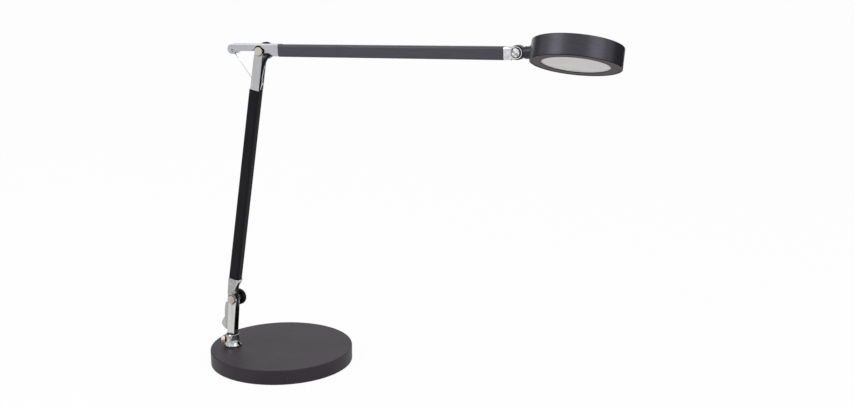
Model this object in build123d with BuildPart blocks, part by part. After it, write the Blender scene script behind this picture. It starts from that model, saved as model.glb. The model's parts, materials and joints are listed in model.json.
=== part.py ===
# Desk lamp: a heavy round base, a swivelling post, two spring-balanced arms and a flat round LED head.
# Millimetres. +Z is up and +X is the way the lower arm leans. The origin is the centre of the base's underside.
from build123d import *
import os
from math import cos, radians, sin, sqrt, tan

os.makedirs("parts", exist_ok=True)

# Fits shared by all pieces
cut_over = 1.0
running_gap = 0.05
thread_gap = 0.05
slip_gap = 0.2
side_gap = 0.3
bend_share = 0.45
single_bend_share = 0.9

# Base
base_radius = 110.0
base_height = 23.1
base_edge_round = 1.2
cover_wall = 2.0
cover_lift = 1.0
pad_thickness = 2.0
weight_gap = 0.7
weight_height = 16.0

# Where the post stands, and how the arms lie in the resting pose
socket_inset = 33.55
socket_angle = 208.01
lower_pivot_forward = 5.9
lower_pivot_z = 100.7
lower_angle = 80.08
lower_length = 390.7
upper_angle = 1.94
upper_length = 402.3
wrist_up = 2.4
head_angle = 1.44
head_turn_angle = 18.73
neck_length = 21.7
head_drop = 1.9

# Arm tubes: a rounded rectangle, set a little off the line through the pivots
tube_depth = 17.5
tube_width = 14.0
tube_round = 3.6
tube_wall = 1.2
lower_tube_back = 1.8
upper_tube_up = 1.2
lower_tube_start = 34.0
lower_tube_stop = 58.0
upper_tube_start = 33.6
upper_tube_stop = 17.4
plug_gap = 0.2
plug_length = 24.0
plug_wall = 1.5

# Channels and joints
lug_radius = 7.4
plate_out = 6.7
plate_in = 5.0
tongue_half = 4.7
post_wall = 1.6
axle_radius = 2.5
axle_bore = axle_radius + running_gap
lead_radius = 1.9
wire_radius = 0.5
wire_back = 3.6

# Head
head_radius = 58.5
head_height = 27.2
head_wall = 2.0
head_edge_round = 1.2
head_rim_round = 0.5
bezel_width = 14.6
window_radius = head_radius - bezel_width
diffuser_ledge = 1.1
diffuser_radius = window_radius + diffuser_ledge
neck_radius = 8.2
head_reach = neck_length + head_radius


# Frames: x runs along the arm, y to its upper or rear side and z towards the near side
def side_frame(x, z, rise):
    along = (cos(radians(rise)), 0, sin(radians(rise)))
    return Plane(origin=(x, arm_y, z), x_dir=along, z_dir=(0, -1, 0))


def across(frame, along, up=0):
    origin = frame.from_local_coords(Vector(along, up, 0))
    return Plane(origin=origin, x_dir=frame.y_dir, z_dir=frame.x_dir)


def ahead(frame, along, up=0):
    origin = frame.from_local_coords(Vector(along, up, 0))
    return origin.X, origin.Z


socket_reach = base_radius - socket_inset
socket_x = socket_reach * cos(radians(socket_angle))
arm_y = socket_reach * sin(radians(socket_angle))
lower_pivot_x = socket_x + lower_pivot_forward
upright = side_frame(0, 0, 0)
lower = side_frame(lower_pivot_x, lower_pivot_z, lower_angle)
upper = side_frame(*ahead(lower, lower_length), upper_angle)
wrist = side_frame(*ahead(upper, upper_length, wrist_up), upper_angle)
neck_line = side_frame(*ahead(upper, upper_length, wrist_up), head_angle)
head_normal = Vector(
    -sin(radians(head_angle)) * cos(radians(head_turn_angle)),
    sin(radians(head_turn_angle)),
    cos(radians(head_angle)) * cos(radians(head_turn_angle)),
)
head_centre = neck_line.from_local_coords(Vector(head_reach, 0, 0)) - head_normal * head_drop
head = Plane(origin=head_centre, x_dir=neck_line.x_dir, z_dir=head_normal)
head_axis = Axis(head_centre, head_normal)
socket = Plane(origin=(socket_x, arm_y, 0), x_dir=(1, 0, 0), z_dir=(0, 0, 1))
socket_side = Plane(origin=(socket_x, arm_y, 0), x_dir=(1, 0, 0), z_dir=(0, -1, 0))


# Helpers that work inside the block that calls them
def disc(plane, radius, height, mode=Mode.ADD):
    with BuildSketch(plane) as face:
        Circle(radius)
    extrude(face.sketch, amount=height, mode=mode)


def ring(plane, outer, inner, height, mode=Mode.ADD):
    with BuildSketch(plane) as face:
        Circle(outer)
        Circle(inner, mode=Mode.SUBTRACT)
    extrude(face.sketch, amount=height, mode=mode)


def slab(frame, points, half_width, mode=Mode.ADD):
    with BuildSketch(frame) as face:
        with BuildLine():
            Polyline(*points, close=True)
        make_face()
    extrude(face.sketch, amount=half_width, both=True, mode=mode)


def edged_plate(piece, frame, points, centre, radius, half_width, edge):
    with BuildSketch(frame) as face:
        with BuildLine():
            Polyline(*points, close=True)
        make_face()
        with Locations(centre):
            Circle(radius)
    extrude(face.sketch, amount=half_width, both=True)
    chamfer(piece.faces().filter_by(Axis.Y).edges(), edge)


def barrel(frame, along, up, radius, half_width, mode=Mode.ADD):
    with BuildSketch(frame) as face:
        with Locations((along, up)):
            Circle(radius)
    extrude(face.sketch, amount=half_width, both=True, mode=mode)


def block(plane, depth, width, height, mode=Mode.ADD):
    with BuildSketch(plane) as face:
        Rectangle(depth, width)
    extrude(face.sketch, amount=height, mode=mode)


def rounded_bar(plane, depth, width, corner, length, mode=Mode.ADD):
    with BuildSketch(plane) as face:
        RectangleRounded(depth, width, corner)
    extrude(face.sketch, amount=length, mode=mode)


def bend_radii(points, share):
    radii = []
    for before, corner, after in zip(points, points[1:], points[2:]):
        run_in = corner - before
        run_out = after - corner
        half_turn = radians(run_in.get_angle(run_out)) / 2
        radii.append(share * min(run_in.length, run_out.length) / tan(half_turn))
    return radii


def lead_run(name, places, share=bend_share):
    radii = bend_radii(places, share)
    print(name, "bend radii", [round(r, 1) for r in radii])
    with BuildPart() as lead:
        with BuildLine() as route:
            if radii:
                FilletPolyline(*places, radius=radii)
            else:
                Line(*places)
        with BuildSketch(Plane(origin=route.line @ 0, z_dir=route.line % 0)):
            Circle(lead_radius)
        sweep()
    return lead


def straight_wire(start, stop):
    with BuildPart() as wire:
        with BuildSketch(Plane(origin=start, z_dir=stop - start)):
            Circle(wire_radius)
        extrude(amount=(stop - start).length)
    return wire


def place(frame, along, up, near=0):
    return frame.from_local_coords(Vector(along, up, near))


def keep(piece, name):
    piece.part.label = name
    export_step(piece.part, f"parts/{name}.step")


# Base cover: a pressed steel cap with screw bosses under its top
screw_count = 3
screw_inset = 30.0
screw_circle = base_radius - screw_inset
screw_first_angle = 30.0
screw_radius = 1.5
screw_head_radius = 3.0
screw_head_height = 2.2
screw_head_sunk = 0.4
screw_end_gap = 0.8
boss_radius = 4.0
stub_radius = 9.0
exit_height = 6.5
gland_radius = 4.0
gland_bore = lead_radius + running_gap
gland_lip = 1.2
gland_length = 9.0
boss_height = base_height - cover_wall - pad_thickness - weight_height
cover_under = Plane.XY.offset(base_height - cover_wall)
rim_x = -sqrt(base_radius**2 - arm_y**2)
exit_plane = Plane(origin=(rim_x, arm_y, exit_height), x_dir=(0, 1, 0), z_dir=(1, 0, 0))

with BuildPart() as base_cover:
    disc(Plane.XY.offset(cover_lift), base_radius, base_height - cover_lift)
    fillet(base_cover.edges().group_by(Axis.Z)[-1], base_edge_round)
    disc(Plane.XY.offset(cover_lift), base_radius - cover_wall, base_height - cover_wall - cover_lift, Mode.SUBTRACT)
    with BuildSketch(cover_under.offset(-boss_height)):
        with PolarLocations(screw_circle, screw_count, screw_first_angle):
            Circle(boss_radius)
    extrude(amount=boss_height + cover_wall / 2)
    with BuildSketch(cover_under.offset(-boss_height)):
        with PolarLocations(screw_circle, screw_count, screw_first_angle):
            Circle(screw_radius + thread_gap)
    extrude(amount=boss_height, mode=Mode.SUBTRACT)
    disc(socket.offset(base_height - cover_wall), stub_radius + slip_gap, cover_wall, Mode.SUBTRACT)
    disc(exit_plane.offset(-2 * gland_lip), gland_radius + running_gap, gland_length, Mode.SUBTRACT)
keep(base_cover, "base_cover")

# Base weight: a cast iron disc with a pocket and a channel for the lead
pocket_radius = 16.0
channel_width = 10.0
channel_top = 12.0
screw_hole_radius = 2.0
counterbore_radius = 3.6
weight_radius = base_radius - cover_wall - weight_gap
channel_length = socket_x - rim_x

with BuildPart() as base_weight:
    disc(Plane.XY.offset(pad_thickness), weight_radius, weight_height)
    disc(socket.offset(pad_thickness), pocket_radius, weight_height, Mode.SUBTRACT)
    channel_plane = Plane(origin=(socket_x - channel_length / 2, arm_y, pad_thickness))
    block(channel_plane, channel_length, channel_width, channel_top - pad_thickness, Mode.SUBTRACT)
    with BuildSketch(Plane.XY.offset(pad_thickness)):
        with PolarLocations(screw_circle, screw_count, screw_first_angle):
            Circle(screw_hole_radius)
    extrude(amount=weight_height, mode=Mode.SUBTRACT)
    with BuildSketch(Plane.XY.offset(pad_thickness)):
        with PolarLocations(screw_circle, screw_count, screw_first_angle):
            Circle(counterbore_radius)
    extrude(amount=screw_head_sunk + screw_head_height, mode=Mode.SUBTRACT)
keep(base_weight, "base_weight")

# Base pad: a soft disc under the weight, standing proud of the cover
with BuildPart() as base_pad:
    disc(Plane.XY, base_radius - cover_wall - slip_gap, pad_thickness)
    chamfer(base_pad.edges().group_by(Axis.Z)[0], pad_thickness / 4)
keep(base_pad, "base_pad")

# Three screws from below hold the weight to the cover
with BuildPart() as base_screws:
    with BuildSketch(Plane.XY.offset(pad_thickness + screw_head_sunk)):
        with PolarLocations(screw_circle, screw_count, screw_first_angle):
            Circle(screw_head_radius)
    extrude(amount=screw_head_height)
    with BuildSketch(Plane.XY.offset(pad_thickness + screw_head_sunk)):
        with PolarLocations(screw_circle, screw_count, screw_first_angle):
            Circle(screw_radius)
    extrude(amount=base_height - cover_wall - pad_thickness - screw_head_sunk - screw_end_gap)
keep(base_screws, "base_screws")

# Foot: a chrome bell with a threaded stub through the cover
gasket_thickness = 0.8
gasket_radius = 13.8
foot_radius = 13.3
foot_lip = 1.6
foot_neck_radius = 10.4
foot_neck_height = 10.0
foot_top_radius = 10.0
foot_top_edge = 0.8
foot_height = 19.0
bush_radius = 7.6
stub_bottom = 17.0
foot_bottom = base_height + gasket_thickness
foot_top = foot_bottom + foot_height
foot_bore = bush_radius + running_gap
flare_radius = 22.0
thumb_radius = 1.95
thumb_washer_radius = 3.8
clamp_flat = foot_top_radius + slip_gap
clamp_height = foot_bottom + foot_height / 2
rear = Vector(socket_x, arm_y, 0).normalized()
clamp_axis = Plane(origin=(socket_x, arm_y, clamp_height), x_dir=(0, 0, 1), z_dir=rear)

with BuildPart() as foot:
    with BuildSketch(socket_side):
        with BuildLine():
            Polyline(
                (foot_neck_radius, foot_bottom + foot_neck_height),
                (foot_top_radius, foot_top - foot_top_edge),
                (foot_top_radius - foot_top_edge, foot_top),
                (foot_bore, foot_top),
                (foot_bore, stub_bottom),
                (stub_radius, stub_bottom),
                (stub_radius, foot_bottom),
                (foot_radius, foot_bottom),
                (foot_radius, foot_bottom + foot_lip),
            )
            RadiusArc(
                (foot_radius, foot_bottom + foot_lip),
                (foot_neck_radius, foot_bottom + foot_neck_height),
                flare_radius,
            )
        make_face()
    revolve(axis=Axis((socket_x, arm_y, 0), (0, 0, 1)))
    disc(clamp_axis, thumb_radius + thread_gap, foot_radius + cut_over, Mode.SUBTRACT)
    disc(clamp_axis.offset(clamp_flat), thumb_washer_radius + slip_gap, foot_radius, Mode.SUBTRACT)
keep(foot, "foot")

# Gasket under the foot
with BuildPart() as foot_gasket:
    ring(socket.offset(base_height), gasket_radius, stub_radius + running_gap, gasket_thickness)
keep(foot_gasket, "foot_gasket")

# Nut under the cover
nut_radius = 13.0
nut_top = base_height - cover_wall

with BuildPart() as foot_nut:
    with BuildSketch(socket.offset(stub_bottom)):
        RegularPolygon(nut_radius, 6)
        Circle(stub_radius + thread_gap, mode=Mode.SUBTRACT)
    extrude(amount=nut_top - stub_bottom)
keep(foot_nut, "foot_nut")

# Swivel bush: a black flanged sleeve in the foot
pin_radius = 6.0
pin_bore = 3.1
bush_flange_radius = 9.2
bush_flange = 1.0
bush_bottom = stub_bottom + slip_gap + slip_gap

with BuildPart() as swivel_bush:
    ring(socket.offset(bush_bottom), bush_radius, pin_radius + running_gap, foot_top - bush_bottom)
    ring(socket.offset(foot_top), bush_flange_radius, pin_radius + running_gap, bush_flange)
    disc(clamp_axis, thumb_radius + thread_gap, foot_radius, Mode.SUBTRACT)
keep(swivel_bush, "swivel_bush")

# Gland: a rubber bush in the rim, ready for a lead
with BuildPart() as base_gland:
    disc(exit_plane.offset(-gland_lip), gland_radius, gland_length + gland_lip)
    disc(exit_plane.offset(-gland_lip), gland_bore, gland_length + gland_lip, Mode.SUBTRACT)
keep(base_gland, "base_gland")

# Lead inside the base, from the gland to the swivel pin
pin_bottom = stub_bottom - bush_flange - slip_gap
base_lead_points = [
    Vector(rim_x, arm_y, exit_height),
    Vector(socket_x, arm_y, exit_height),
    Vector(socket_x, arm_y, pin_bottom),
]
base_lead = lead_run("base lead", base_lead_points, single_bend_share)
keep(base_lead, "base_lead")

# Thumb screw: knurled brass, with a black washer
thumb_head_radius = 4.7
thumb_head_length = 5.6
thumb_flute_radius = 0.35
thumb_flutes = 20
thumb_washer_thickness = 1.0
thumb_tip = pin_radius + side_gap
thumb_seat = clamp_flat + side_gap

with BuildPart() as thumb_screw:
    disc(clamp_axis.offset(thumb_tip), thumb_radius, thumb_seat + thumb_washer_thickness + cut_over - thumb_tip)
    with BuildSketch(clamp_axis.offset(thumb_seat + thumb_washer_thickness + side_gap)) as thumb_face:
        Circle(thumb_head_radius)
        with PolarLocations(thumb_head_radius, thumb_flutes):
            Circle(thumb_flute_radius, mode=Mode.SUBTRACT)
    extrude(thumb_face.sketch, amount=thumb_head_length)
keep(thumb_screw, "thumb_screw")

with BuildPart() as thumb_washer:
    ring(clamp_axis.offset(thumb_seat), thumb_washer_radius, thumb_radius + slip_gap, thumb_washer_thickness)
keep(thumb_washer, "thumb_washer")

# Swivel pin: a steel tube that turns in the bush, with a clip under it
post_bottom = foot_top + bush_flange + side_gap
post_block = 6.0
tenon_radius = 4.4
clip_radius = 8.2

with BuildPart() as swivel_pin:
    ring(socket.offset(pin_bottom), pin_radius, pin_bore, post_bottom - pin_bottom)
    ring(socket.offset(post_bottom), tenon_radius, pin_bore, post_block)
keep(swivel_pin, "swivel_pin")

with BuildPart() as swivel_clip:
    ring(socket.offset(pin_bottom), clip_radius, pin_radius + running_gap, bush_flange)
keep(swivel_clip, "swivel_clip")

# Post: a leaning channel, open to the front, with a thin rear fin that holds the lower wire
post_behind = 6.7
post_ahead = 7.2
post_half = 5.6
post_top_radius = 6.8
post_edge = 0.35
shoulder_gap = 0.8
fin_reach = 24.0
fin_half = 2.4
fin_slot_half = 1.0
fin_shares = (
    (0.1, 0.05),
    (0.27, 0.05),
    (0.61, 0.13),
    (0.69, 0.26),
    (0.72, 0.4),
    (0.74, 0.55),
    (0.87, 0.62),
    (1, 0.735),
    (0.975, 0.79),
    (0.92, 0.835),
    (0.77, 0.89),
    (0.59, 0.925),
    (0.46, 0.945),
    (0.29, 0.945),
)
anchor_share = (0.81, 0.73)
web_top = 45.0
anchor_radius = 1.25
post_back = socket_x - post_behind
post_front = socket_x + post_ahead
post_height = lower_pivot_z - post_bottom
post_lean = (lower_pivot_x - post_top_radius - post_back) / post_height
shoulder = post_height - lug_radius - shoulder_gap
pivot = (lower_pivot_x, lower_pivot_z)


def post_line(base_x, height, inset=0):
    return base_x + inset + post_lean * height, post_bottom + height


def below_pivot(back_share, down_share):
    return lower_pivot_x - back_share * fin_reach, lower_pivot_z - down_share * post_height


with BuildPart() as post:
    column_outline = [
        post_line(post_back, 0),
        post_line(post_front, 0),
        post_line(post_front, shoulder),
        post_line(post_back, shoulder),
    ]
    slab(upright, column_outline, post_half)
    chamfer(post.faces().filter_by(Axis.Y).edges(), post_edge)
    tongue_shape = [
        post_line(post_back, shoulder - post_top_radius),
        post_line(post_front, shoulder - post_top_radius),
        (lower_pivot_x + post_top_radius, lower_pivot_z),
        (lower_pivot_x - post_top_radius, lower_pivot_z),
    ]
    slab(upright, tongue_shape, tongue_half)
    barrel(upright, *pivot, post_top_radius, tongue_half)
    fin_outline = [below_pivot(*shares) for shares in fin_shares]
    slab(upright, fin_outline, fin_half)
    front_cut = [
        post_line(post_back, post_block, post_wall),
        post_line(post_front + cut_over, post_block),
        post_line(post_front + post_top_radius, post_height + 2 * post_top_radius),
        post_line(post_back, post_height + 2 * post_top_radius, post_wall),
    ]
    slab(upright, front_cut, tongue_half - post_wall, Mode.SUBTRACT)
    wide_cut = [
        post_line(post_back, post_block, post_wall),
        post_line(post_front + cut_over, post_block),
        post_line(post_front + cut_over, shoulder - 2 * post_wall),
        post_line(post_back, shoulder - 2 * post_wall, post_wall),
    ]
    slab(upright, wide_cut, post_half - post_wall, Mode.SUBTRACT)
    fin_slot = [
        post_line(post_back - fin_reach, 0),
        post_line(post_back, 0),
        post_line(post_back, post_height + post_top_radius),
        post_line(post_back - fin_reach, post_height + post_top_radius),
    ]
    slab(upright, fin_slot, fin_slot_half, Mode.SUBTRACT)
    rear_cut = [
        post_line(post_back - fin_reach, web_top),
        post_line(post_back, web_top, 2 * post_wall),
        post_line(post_back, post_height + 2 * post_top_radius, 2 * post_wall),
        post_line(post_back - fin_reach, post_height + 2 * post_top_radius),
    ]
    slab(upright, rear_cut, fin_slot_half, Mode.SUBTRACT)
    barrel(upright, *pivot, axle_bore, tongue_half + cut_over, Mode.SUBTRACT)
    disc(socket.offset(post_bottom), tenon_radius + running_gap / 2, post_block, Mode.SUBTRACT)
    anchor_at = below_pivot(*anchor_share)
    barrel(upright, *anchor_at, anchor_radius + running_gap / 2, fin_half + cut_over, Mode.SUBTRACT)
keep(post, "post")

with BuildPart() as anchor_pin:
    barrel(upright, *anchor_at, anchor_radius, fin_half)
keep(anchor_pin, "anchor_pin")

# Lead up the post, in front of the axle and into the lower arm
lead_front = axle_radius + lead_radius + 2 * side_gap
lower_lead_back = lower_tube_back - tube_depth / 2 + tube_wall + lead_radius + side_gap
post_lead_end = 40.0
post_lead_lift = 9.0
lead_entry = 28.0
post_lead_stop = Vector(lower_pivot_x + lead_front - side_gap, arm_y, post_bottom + post_lead_end)
post_lead_points = [
    Vector(socket_x, arm_y, pin_bottom),
    Vector(socket_x, arm_y, post_bottom + post_lead_lift),
    post_lead_stop,
]
post_lead = lead_run("post lead", post_lead_points)
keep(post_lead, "post_lead")

post_lead_way = (post_lead_stop - post_lead_points[1]).normalized()
joint_lead_points = [
    post_lead_stop,
    post_lead_stop + post_lead_way * axle_radius * 2,
    place(lower, 0, -lead_front),
    place(lower, lead_entry / 2, -lead_front),
    place(lower, lead_entry, lower_lead_back),
    place(lower, lower_tube_start, lower_lead_back),
]
lower_joint_lead = lead_run("lower joint lead", joint_lead_points)
keep(lower_joint_lead, "lower_joint_lead")

# Lower bracket of the lower arm: two cheeks on the post, a back wall and a plug in the tube
bracket_wall = 1.8
bracket_back = lower_tube_back + tube_depth / 2 - plug_gap
bracket_front = tube_depth / 2 - lower_tube_back
plate_edge = 0.4
lug_height = 12.0
lug_back = 9.2
notch_along = 10.5
notch_back = 1.4
flange_in = 2.4
bracket_collar = 2.0
back_wall_start = 11.0
wire_pin_radius = 1.5
lower_wire_pin_along = 24.0
plug_depth = tube_depth - 2 * tube_wall - 2 * plug_gap
plug_width = tube_width - 2 * tube_wall - 2 * plug_gap
plug_round = tube_round - tube_wall - plug_gap
plug_in_half = plug_width / 2 - plug_wall

with BuildPart() as lower_bracket:
    lower_outline = [
        (0, lug_radius),
        (lug_height, lug_back),
        (lower_tube_start, bracket_back),
        (lower_tube_start, -bracket_front),
        (lower_tube_start - bracket_collar, -bracket_front),
        (notch_along, notch_back),
        (lug_radius / 2, -lug_radius / 2),
    ]
    edged_plate(lower_bracket, lower, lower_outline, (0, 0), lug_radius, plate_out, plate_edge)
    rounded_bar(across(lower, lower_tube_start, lower_tube_back), plug_depth, plug_width, plug_round, plug_length)
    cheek_gap = [
        (-2 * lug_radius, bracket_back + cut_over),
        (back_wall_start, bracket_back + cut_over),
        (back_wall_start, lug_back - bracket_wall),
        (lower_tube_start - bracket_collar, bracket_back - bracket_wall),
        (lower_tube_start - bracket_collar, bracket_wall - bracket_front),
        (notch_along, notch_back + bracket_wall),
        (notch_along - bracket_wall, -2 * bracket_front),
        (-2 * lug_radius, -2 * bracket_front),
    ]
    slab(lower, cheek_gap, plate_in, Mode.SUBTRACT)
    lead_gap = [
        (0, 0),
        (notch_along, notch_back + bracket_wall),
        (lower_tube_start - bracket_collar, bracket_wall),
        (lower_tube_start - bracket_collar, -2 * bracket_front),
        (0, -2 * bracket_front),
    ]
    slab(lower, lead_gap, flange_in, Mode.SUBTRACT)
    plug_end = lower_tube_start + plug_length
    plug_slot = [
        (lower_tube_start - bracket_collar - cut_over, lower_tube_back + plug_depth / 2 - plug_wall),
        (plug_end + cut_over, lower_tube_back + plug_depth / 2 - plug_wall),
        (plug_end + cut_over, -tube_depth),
        (lower_tube_start - bracket_collar - cut_over, -tube_depth),
    ]
    slab(lower, plug_slot, plug_in_half, Mode.SUBTRACT)
    barrel(lower, 0, 0, axle_bore, plate_out + cut_over, Mode.SUBTRACT)
    lower_wire_pin_up = wire_back + wire_radius + wire_pin_radius
    barrel(lower, lower_wire_pin_along, lower_wire_pin_up, wire_pin_radius + running_gap / 2, plate_out, Mode.SUBTRACT)
keep(lower_bracket, "lower_bracket")

# Lower arm tube
lower_tube_end = lower_length - lower_tube_stop

with BuildPart() as lower_tube:
    tube_start_plane = across(lower, lower_tube_start, lower_tube_back)
    lower_tube_length = lower_tube_end - lower_tube_start
    rounded_bar(tube_start_plane, tube_depth, tube_width, tube_round, lower_tube_length)
    rounded_bar(
        tube_start_plane,
        tube_depth - 2 * tube_wall,
        tube_width - 2 * tube_wall,
        tube_round - tube_wall,
        lower_tube_length,
        Mode.SUBTRACT,
    )
keep(lower_tube, "lower_tube")

# Elbow bracket: a channel open to the front, rounded about the elbow
elbow_top_radius = 7.0
elbow_back = 8.0
elbow_front = 6.2
elbow_wall_drop = 12.0
wire_slot_half = 2.2
wire_slot_top = 30.0
wire_slot_bottom = 55.0
wire_bend_drop = 49.7

with BuildPart() as elbow_bracket:
    elbow_outline = [
        (lower_tube_end, elbow_back),
        (lower_length - elbow_wall_drop, elbow_back),
        (lower_length, elbow_top_radius),
        (lower_length, -elbow_top_radius),
        (lower_length - elbow_wall_drop, -elbow_front),
        (lower_tube_end, -elbow_front),
    ]
    elbow_centre = (lower_length, 0)
    edged_plate(elbow_bracket, lower, elbow_outline, elbow_centre, elbow_top_radius, plate_out, plate_edge)
    plug_plane = across(lower, lower_tube_end - plug_length, lower_tube_back)
    rounded_bar(plug_plane, plug_depth, plug_width, plug_round, plug_length)
    elbow_gap = [
        (lower_tube_end + bracket_collar, elbow_back - bracket_wall),
        (lower_length - elbow_wall_drop, elbow_back - bracket_wall),
        (lower_length - elbow_wall_drop, elbow_back + cut_over),
        (lower_length + 2 * elbow_top_radius, elbow_back + cut_over),
        (lower_length + 2 * elbow_top_radius, -elbow_top_radius - cut_over),
        (lower_tube_end + bracket_collar, -elbow_top_radius - cut_over),
    ]
    slab(lower, elbow_gap, plate_in, Mode.SUBTRACT)
    elbow_plug_slot = [
        (lower_tube_end - plug_length - cut_over, elbow_back - bracket_wall),
        (lower_tube_end + bracket_collar + cut_over, elbow_back - bracket_wall),
        (lower_tube_end + bracket_collar + cut_over, -tube_depth),
        (lower_tube_end - plug_length - cut_over, -tube_depth),
    ]
    slab(lower, elbow_plug_slot, plug_in_half, Mode.SUBTRACT)
    wire_slot = [
        (lower_length - wire_slot_bottom, 0),
        (lower_length - wire_slot_top, 0),
        (lower_length - wire_slot_top, elbow_back + cut_over),
        (lower_length - wire_slot_bottom, elbow_back + cut_over),
    ]
    slab(lower, wire_slot, wire_slot_half, Mode.SUBTRACT)
    barrel(lower, lower_length, 0, axle_bore, plate_out + cut_over, Mode.SUBTRACT)
    upper_wire_pin = (lower_length - wire_bend_drop - wire_radius - wire_radius, lower_wire_pin_up)
    barrel(lower, *upper_wire_pin, wire_pin_radius + running_gap / 2, plate_out, Mode.SUBTRACT)
keep(elbow_bracket, "elbow_bracket")

# Two pins that the balance wires run over
with BuildPart() as wire_pins:
    barrel(lower, lower_wire_pin_along, lower_wire_pin_up, wire_pin_radius, plate_out - running_gap)
    barrel(lower, *upper_wire_pin, wire_pin_radius, plate_out - running_gap)
keep(wire_pins, "wire_pins")

# Balance springs in the lower arm tube, drawn as sleeves with an eye at each end
spring_radius = 4.0
spring_wire = 1.0
spring_eye_radius = 2.2
spring_eye_hole = 1.0
anchor_along = (lower_tube_start + lower_tube_end) / 2
anchor_thickness = 12.0
spring_clear = 6.0
eye_length = 2 * spring_eye_radius


def spring(start, stop):
    with BuildPart() as sleeve:
        ring(
            across(lower, start + eye_length, wire_back),
            spring_radius,
            spring_radius - spring_wire,
            stop - start - 2 * eye_length,
        )
        for eye_at, inward in ((start + spring_eye_radius, 1), (stop - spring_eye_radius, -1)):
            hook = [
                (eye_at, wire_back - spring_eye_radius),
                (eye_at + inward * eye_length, wire_back - spring_radius + spring_wire / 2),
                (eye_at + inward * eye_length, wire_back + spring_radius - spring_wire / 2),
                (eye_at, wire_back + spring_eye_radius),
            ]
            slab(lower, hook, spring_wire / 2)
            barrel(lower, eye_at, wire_back, spring_eye_radius, spring_wire / 2)
            barrel(lower, eye_at, wire_back, spring_eye_hole, spring_wire, Mode.SUBTRACT)
    return sleeve


lower_spring_start = lower_tube_start + plug_length + spring_clear
lower_spring_stop = anchor_along - anchor_thickness / 2 - side_gap
upper_spring_start = anchor_along + anchor_thickness / 2 + side_gap
upper_spring_stop = lower_tube_end - plug_length - spring_clear
lower_spring = spring(lower_spring_start, lower_spring_stop)
keep(lower_spring, "lower_spring")
upper_spring = spring(upper_spring_start, upper_spring_stop)
keep(upper_spring, "upper_spring")

# Spring anchor: a block fixed in the tube, notched for the lead
with BuildPart() as spring_anchor:
    anchor_plane = across(lower, anchor_along - anchor_thickness / 2, lower_tube_back)
    rounded_bar(anchor_plane, plug_depth, plug_width, plug_round, anchor_thickness)
    notch = [
        (anchor_along - anchor_thickness, lower_lead_back + lead_radius + side_gap),
        (anchor_along + anchor_thickness, lower_lead_back + lead_radius + side_gap),
        (anchor_along + anchor_thickness, -tube_depth),
        (anchor_along - anchor_thickness, -tube_depth),
    ]
    slab(lower, notch, lead_radius + side_gap, Mode.SUBTRACT)
keep(spring_anchor, "spring_anchor")

# Balance wires: a free stretch over each joint and a run to each spring inside the arm
lower_wire_bend = place(lower, lower_wire_pin_along, wire_back)
upper_wire_bend = place(lower, lower_length - wire_bend_drop, wire_back)
anchor_point = Vector(anchor_at[0], arm_y, anchor_at[1])
lower_wire_way = (lower_wire_bend - anchor_point).normalized()
lower_wire_start = anchor_point + lower_wire_way * (anchor_radius + running_gap)
lower_wire = straight_wire(lower_wire_start, lower_wire_bend - lower_wire_way * 2 * wire_radius)
keep(lower_wire, "lower_wire")

lever_pin_along = -47.4
lever_pin_up = 1.0
lever_pin_radius = 1.3
lever_wire_near = 4.4
lever_point = place(upper, lever_pin_along, lever_pin_up, lever_wire_near)
upper_wire_way = (upper_wire_bend - lever_point).normalized()
upper_wire_start = lever_point + upper_wire_way * (lever_pin_radius + running_gap)
elbow_wire = straight_wire(upper_wire_start, upper_wire_bend - upper_wire_way * 2 * wire_radius)
keep(elbow_wire, "elbow_wire")

with BuildPart() as spring_wires:
    with BuildSketch(across(lower, lower_wire_pin_along, wire_back)) as wire_face:
        Circle(wire_radius)
    extrude(wire_face.sketch, amount=lower_spring_start - running_gap - lower_wire_pin_along)
    with BuildSketch(across(lower, upper_spring_stop + running_gap, wire_back)) as wire_face:
        Circle(wire_radius)
    extrude(wire_face.sketch, amount=lower_length - wire_bend_drop - upper_spring_stop - running_gap)
keep(spring_wires, "spring_wires")

# Lead through the lower arm, and the free stretch over the elbow
elbow_lead_start = 30.0
elbow_lead_shift = 1.5
arm_lead_points = [
    place(lower, lower_tube_start, lower_lead_back),
    place(lower, lower_tube_end, lower_lead_back),
    place(lower, lower_length - elbow_lead_start, lower_lead_back - elbow_lead_shift),
]
arm_lead = lead_run("arm lead", arm_lead_points)
keep(arm_lead, "arm_lead")

# Axles, caps and hubs, alike at the lower joint and the elbow
joint_places = ((0, 0), (lower_length, 0))
axle_head_radius = 4.8
axle_head = 1.2
cap_radius = 6.2
cap_height = 2.6
cap_wall = 0.9
cap_crown = 0.9
cap_gap = 0.1
hub_radius = 6.4
hub_length = 2.0
knob_radius = 12.4
knob_thickness = 6.4
knob_round = 1.5
knob_bore_depth = 4.0
knob_flutes = 16
knob_flute_radius = 0.8
hub_start = plate_out + side_gap
knob_start = hub_start + hub_length + side_gap
axle_far = knob_start + knob_bore_depth - side_gap
axle_near = plate_out + cap_gap

with BuildPart() as joint_axles:
    with BuildSketch(lower.offset(-axle_far)):
        with Locations(*joint_places):
            Circle(axle_radius)
    extrude(amount=axle_far + axle_near)
    with BuildSketch(lower.offset(axle_near)):
        with Locations(*joint_places):
            Circle(axle_head_radius)
    extrude(amount=axle_head)
keep(joint_axles, "joint_axles")

with BuildPart() as joint_caps:
    with BuildSketch(lower.offset(axle_near)):
        with Locations(*joint_places):
            Circle(cap_radius)
    extrude(amount=cap_height)
    fillet(joint_caps.faces().group_by(Axis.Y)[0].edges(), cap_crown)
    with BuildSketch(lower.offset(axle_near)):
        with Locations(*joint_places):
            Circle(cap_radius - cap_wall)
    extrude(amount=cap_height - cap_wall, mode=Mode.SUBTRACT)
keep(joint_caps, "joint_caps")

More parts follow.
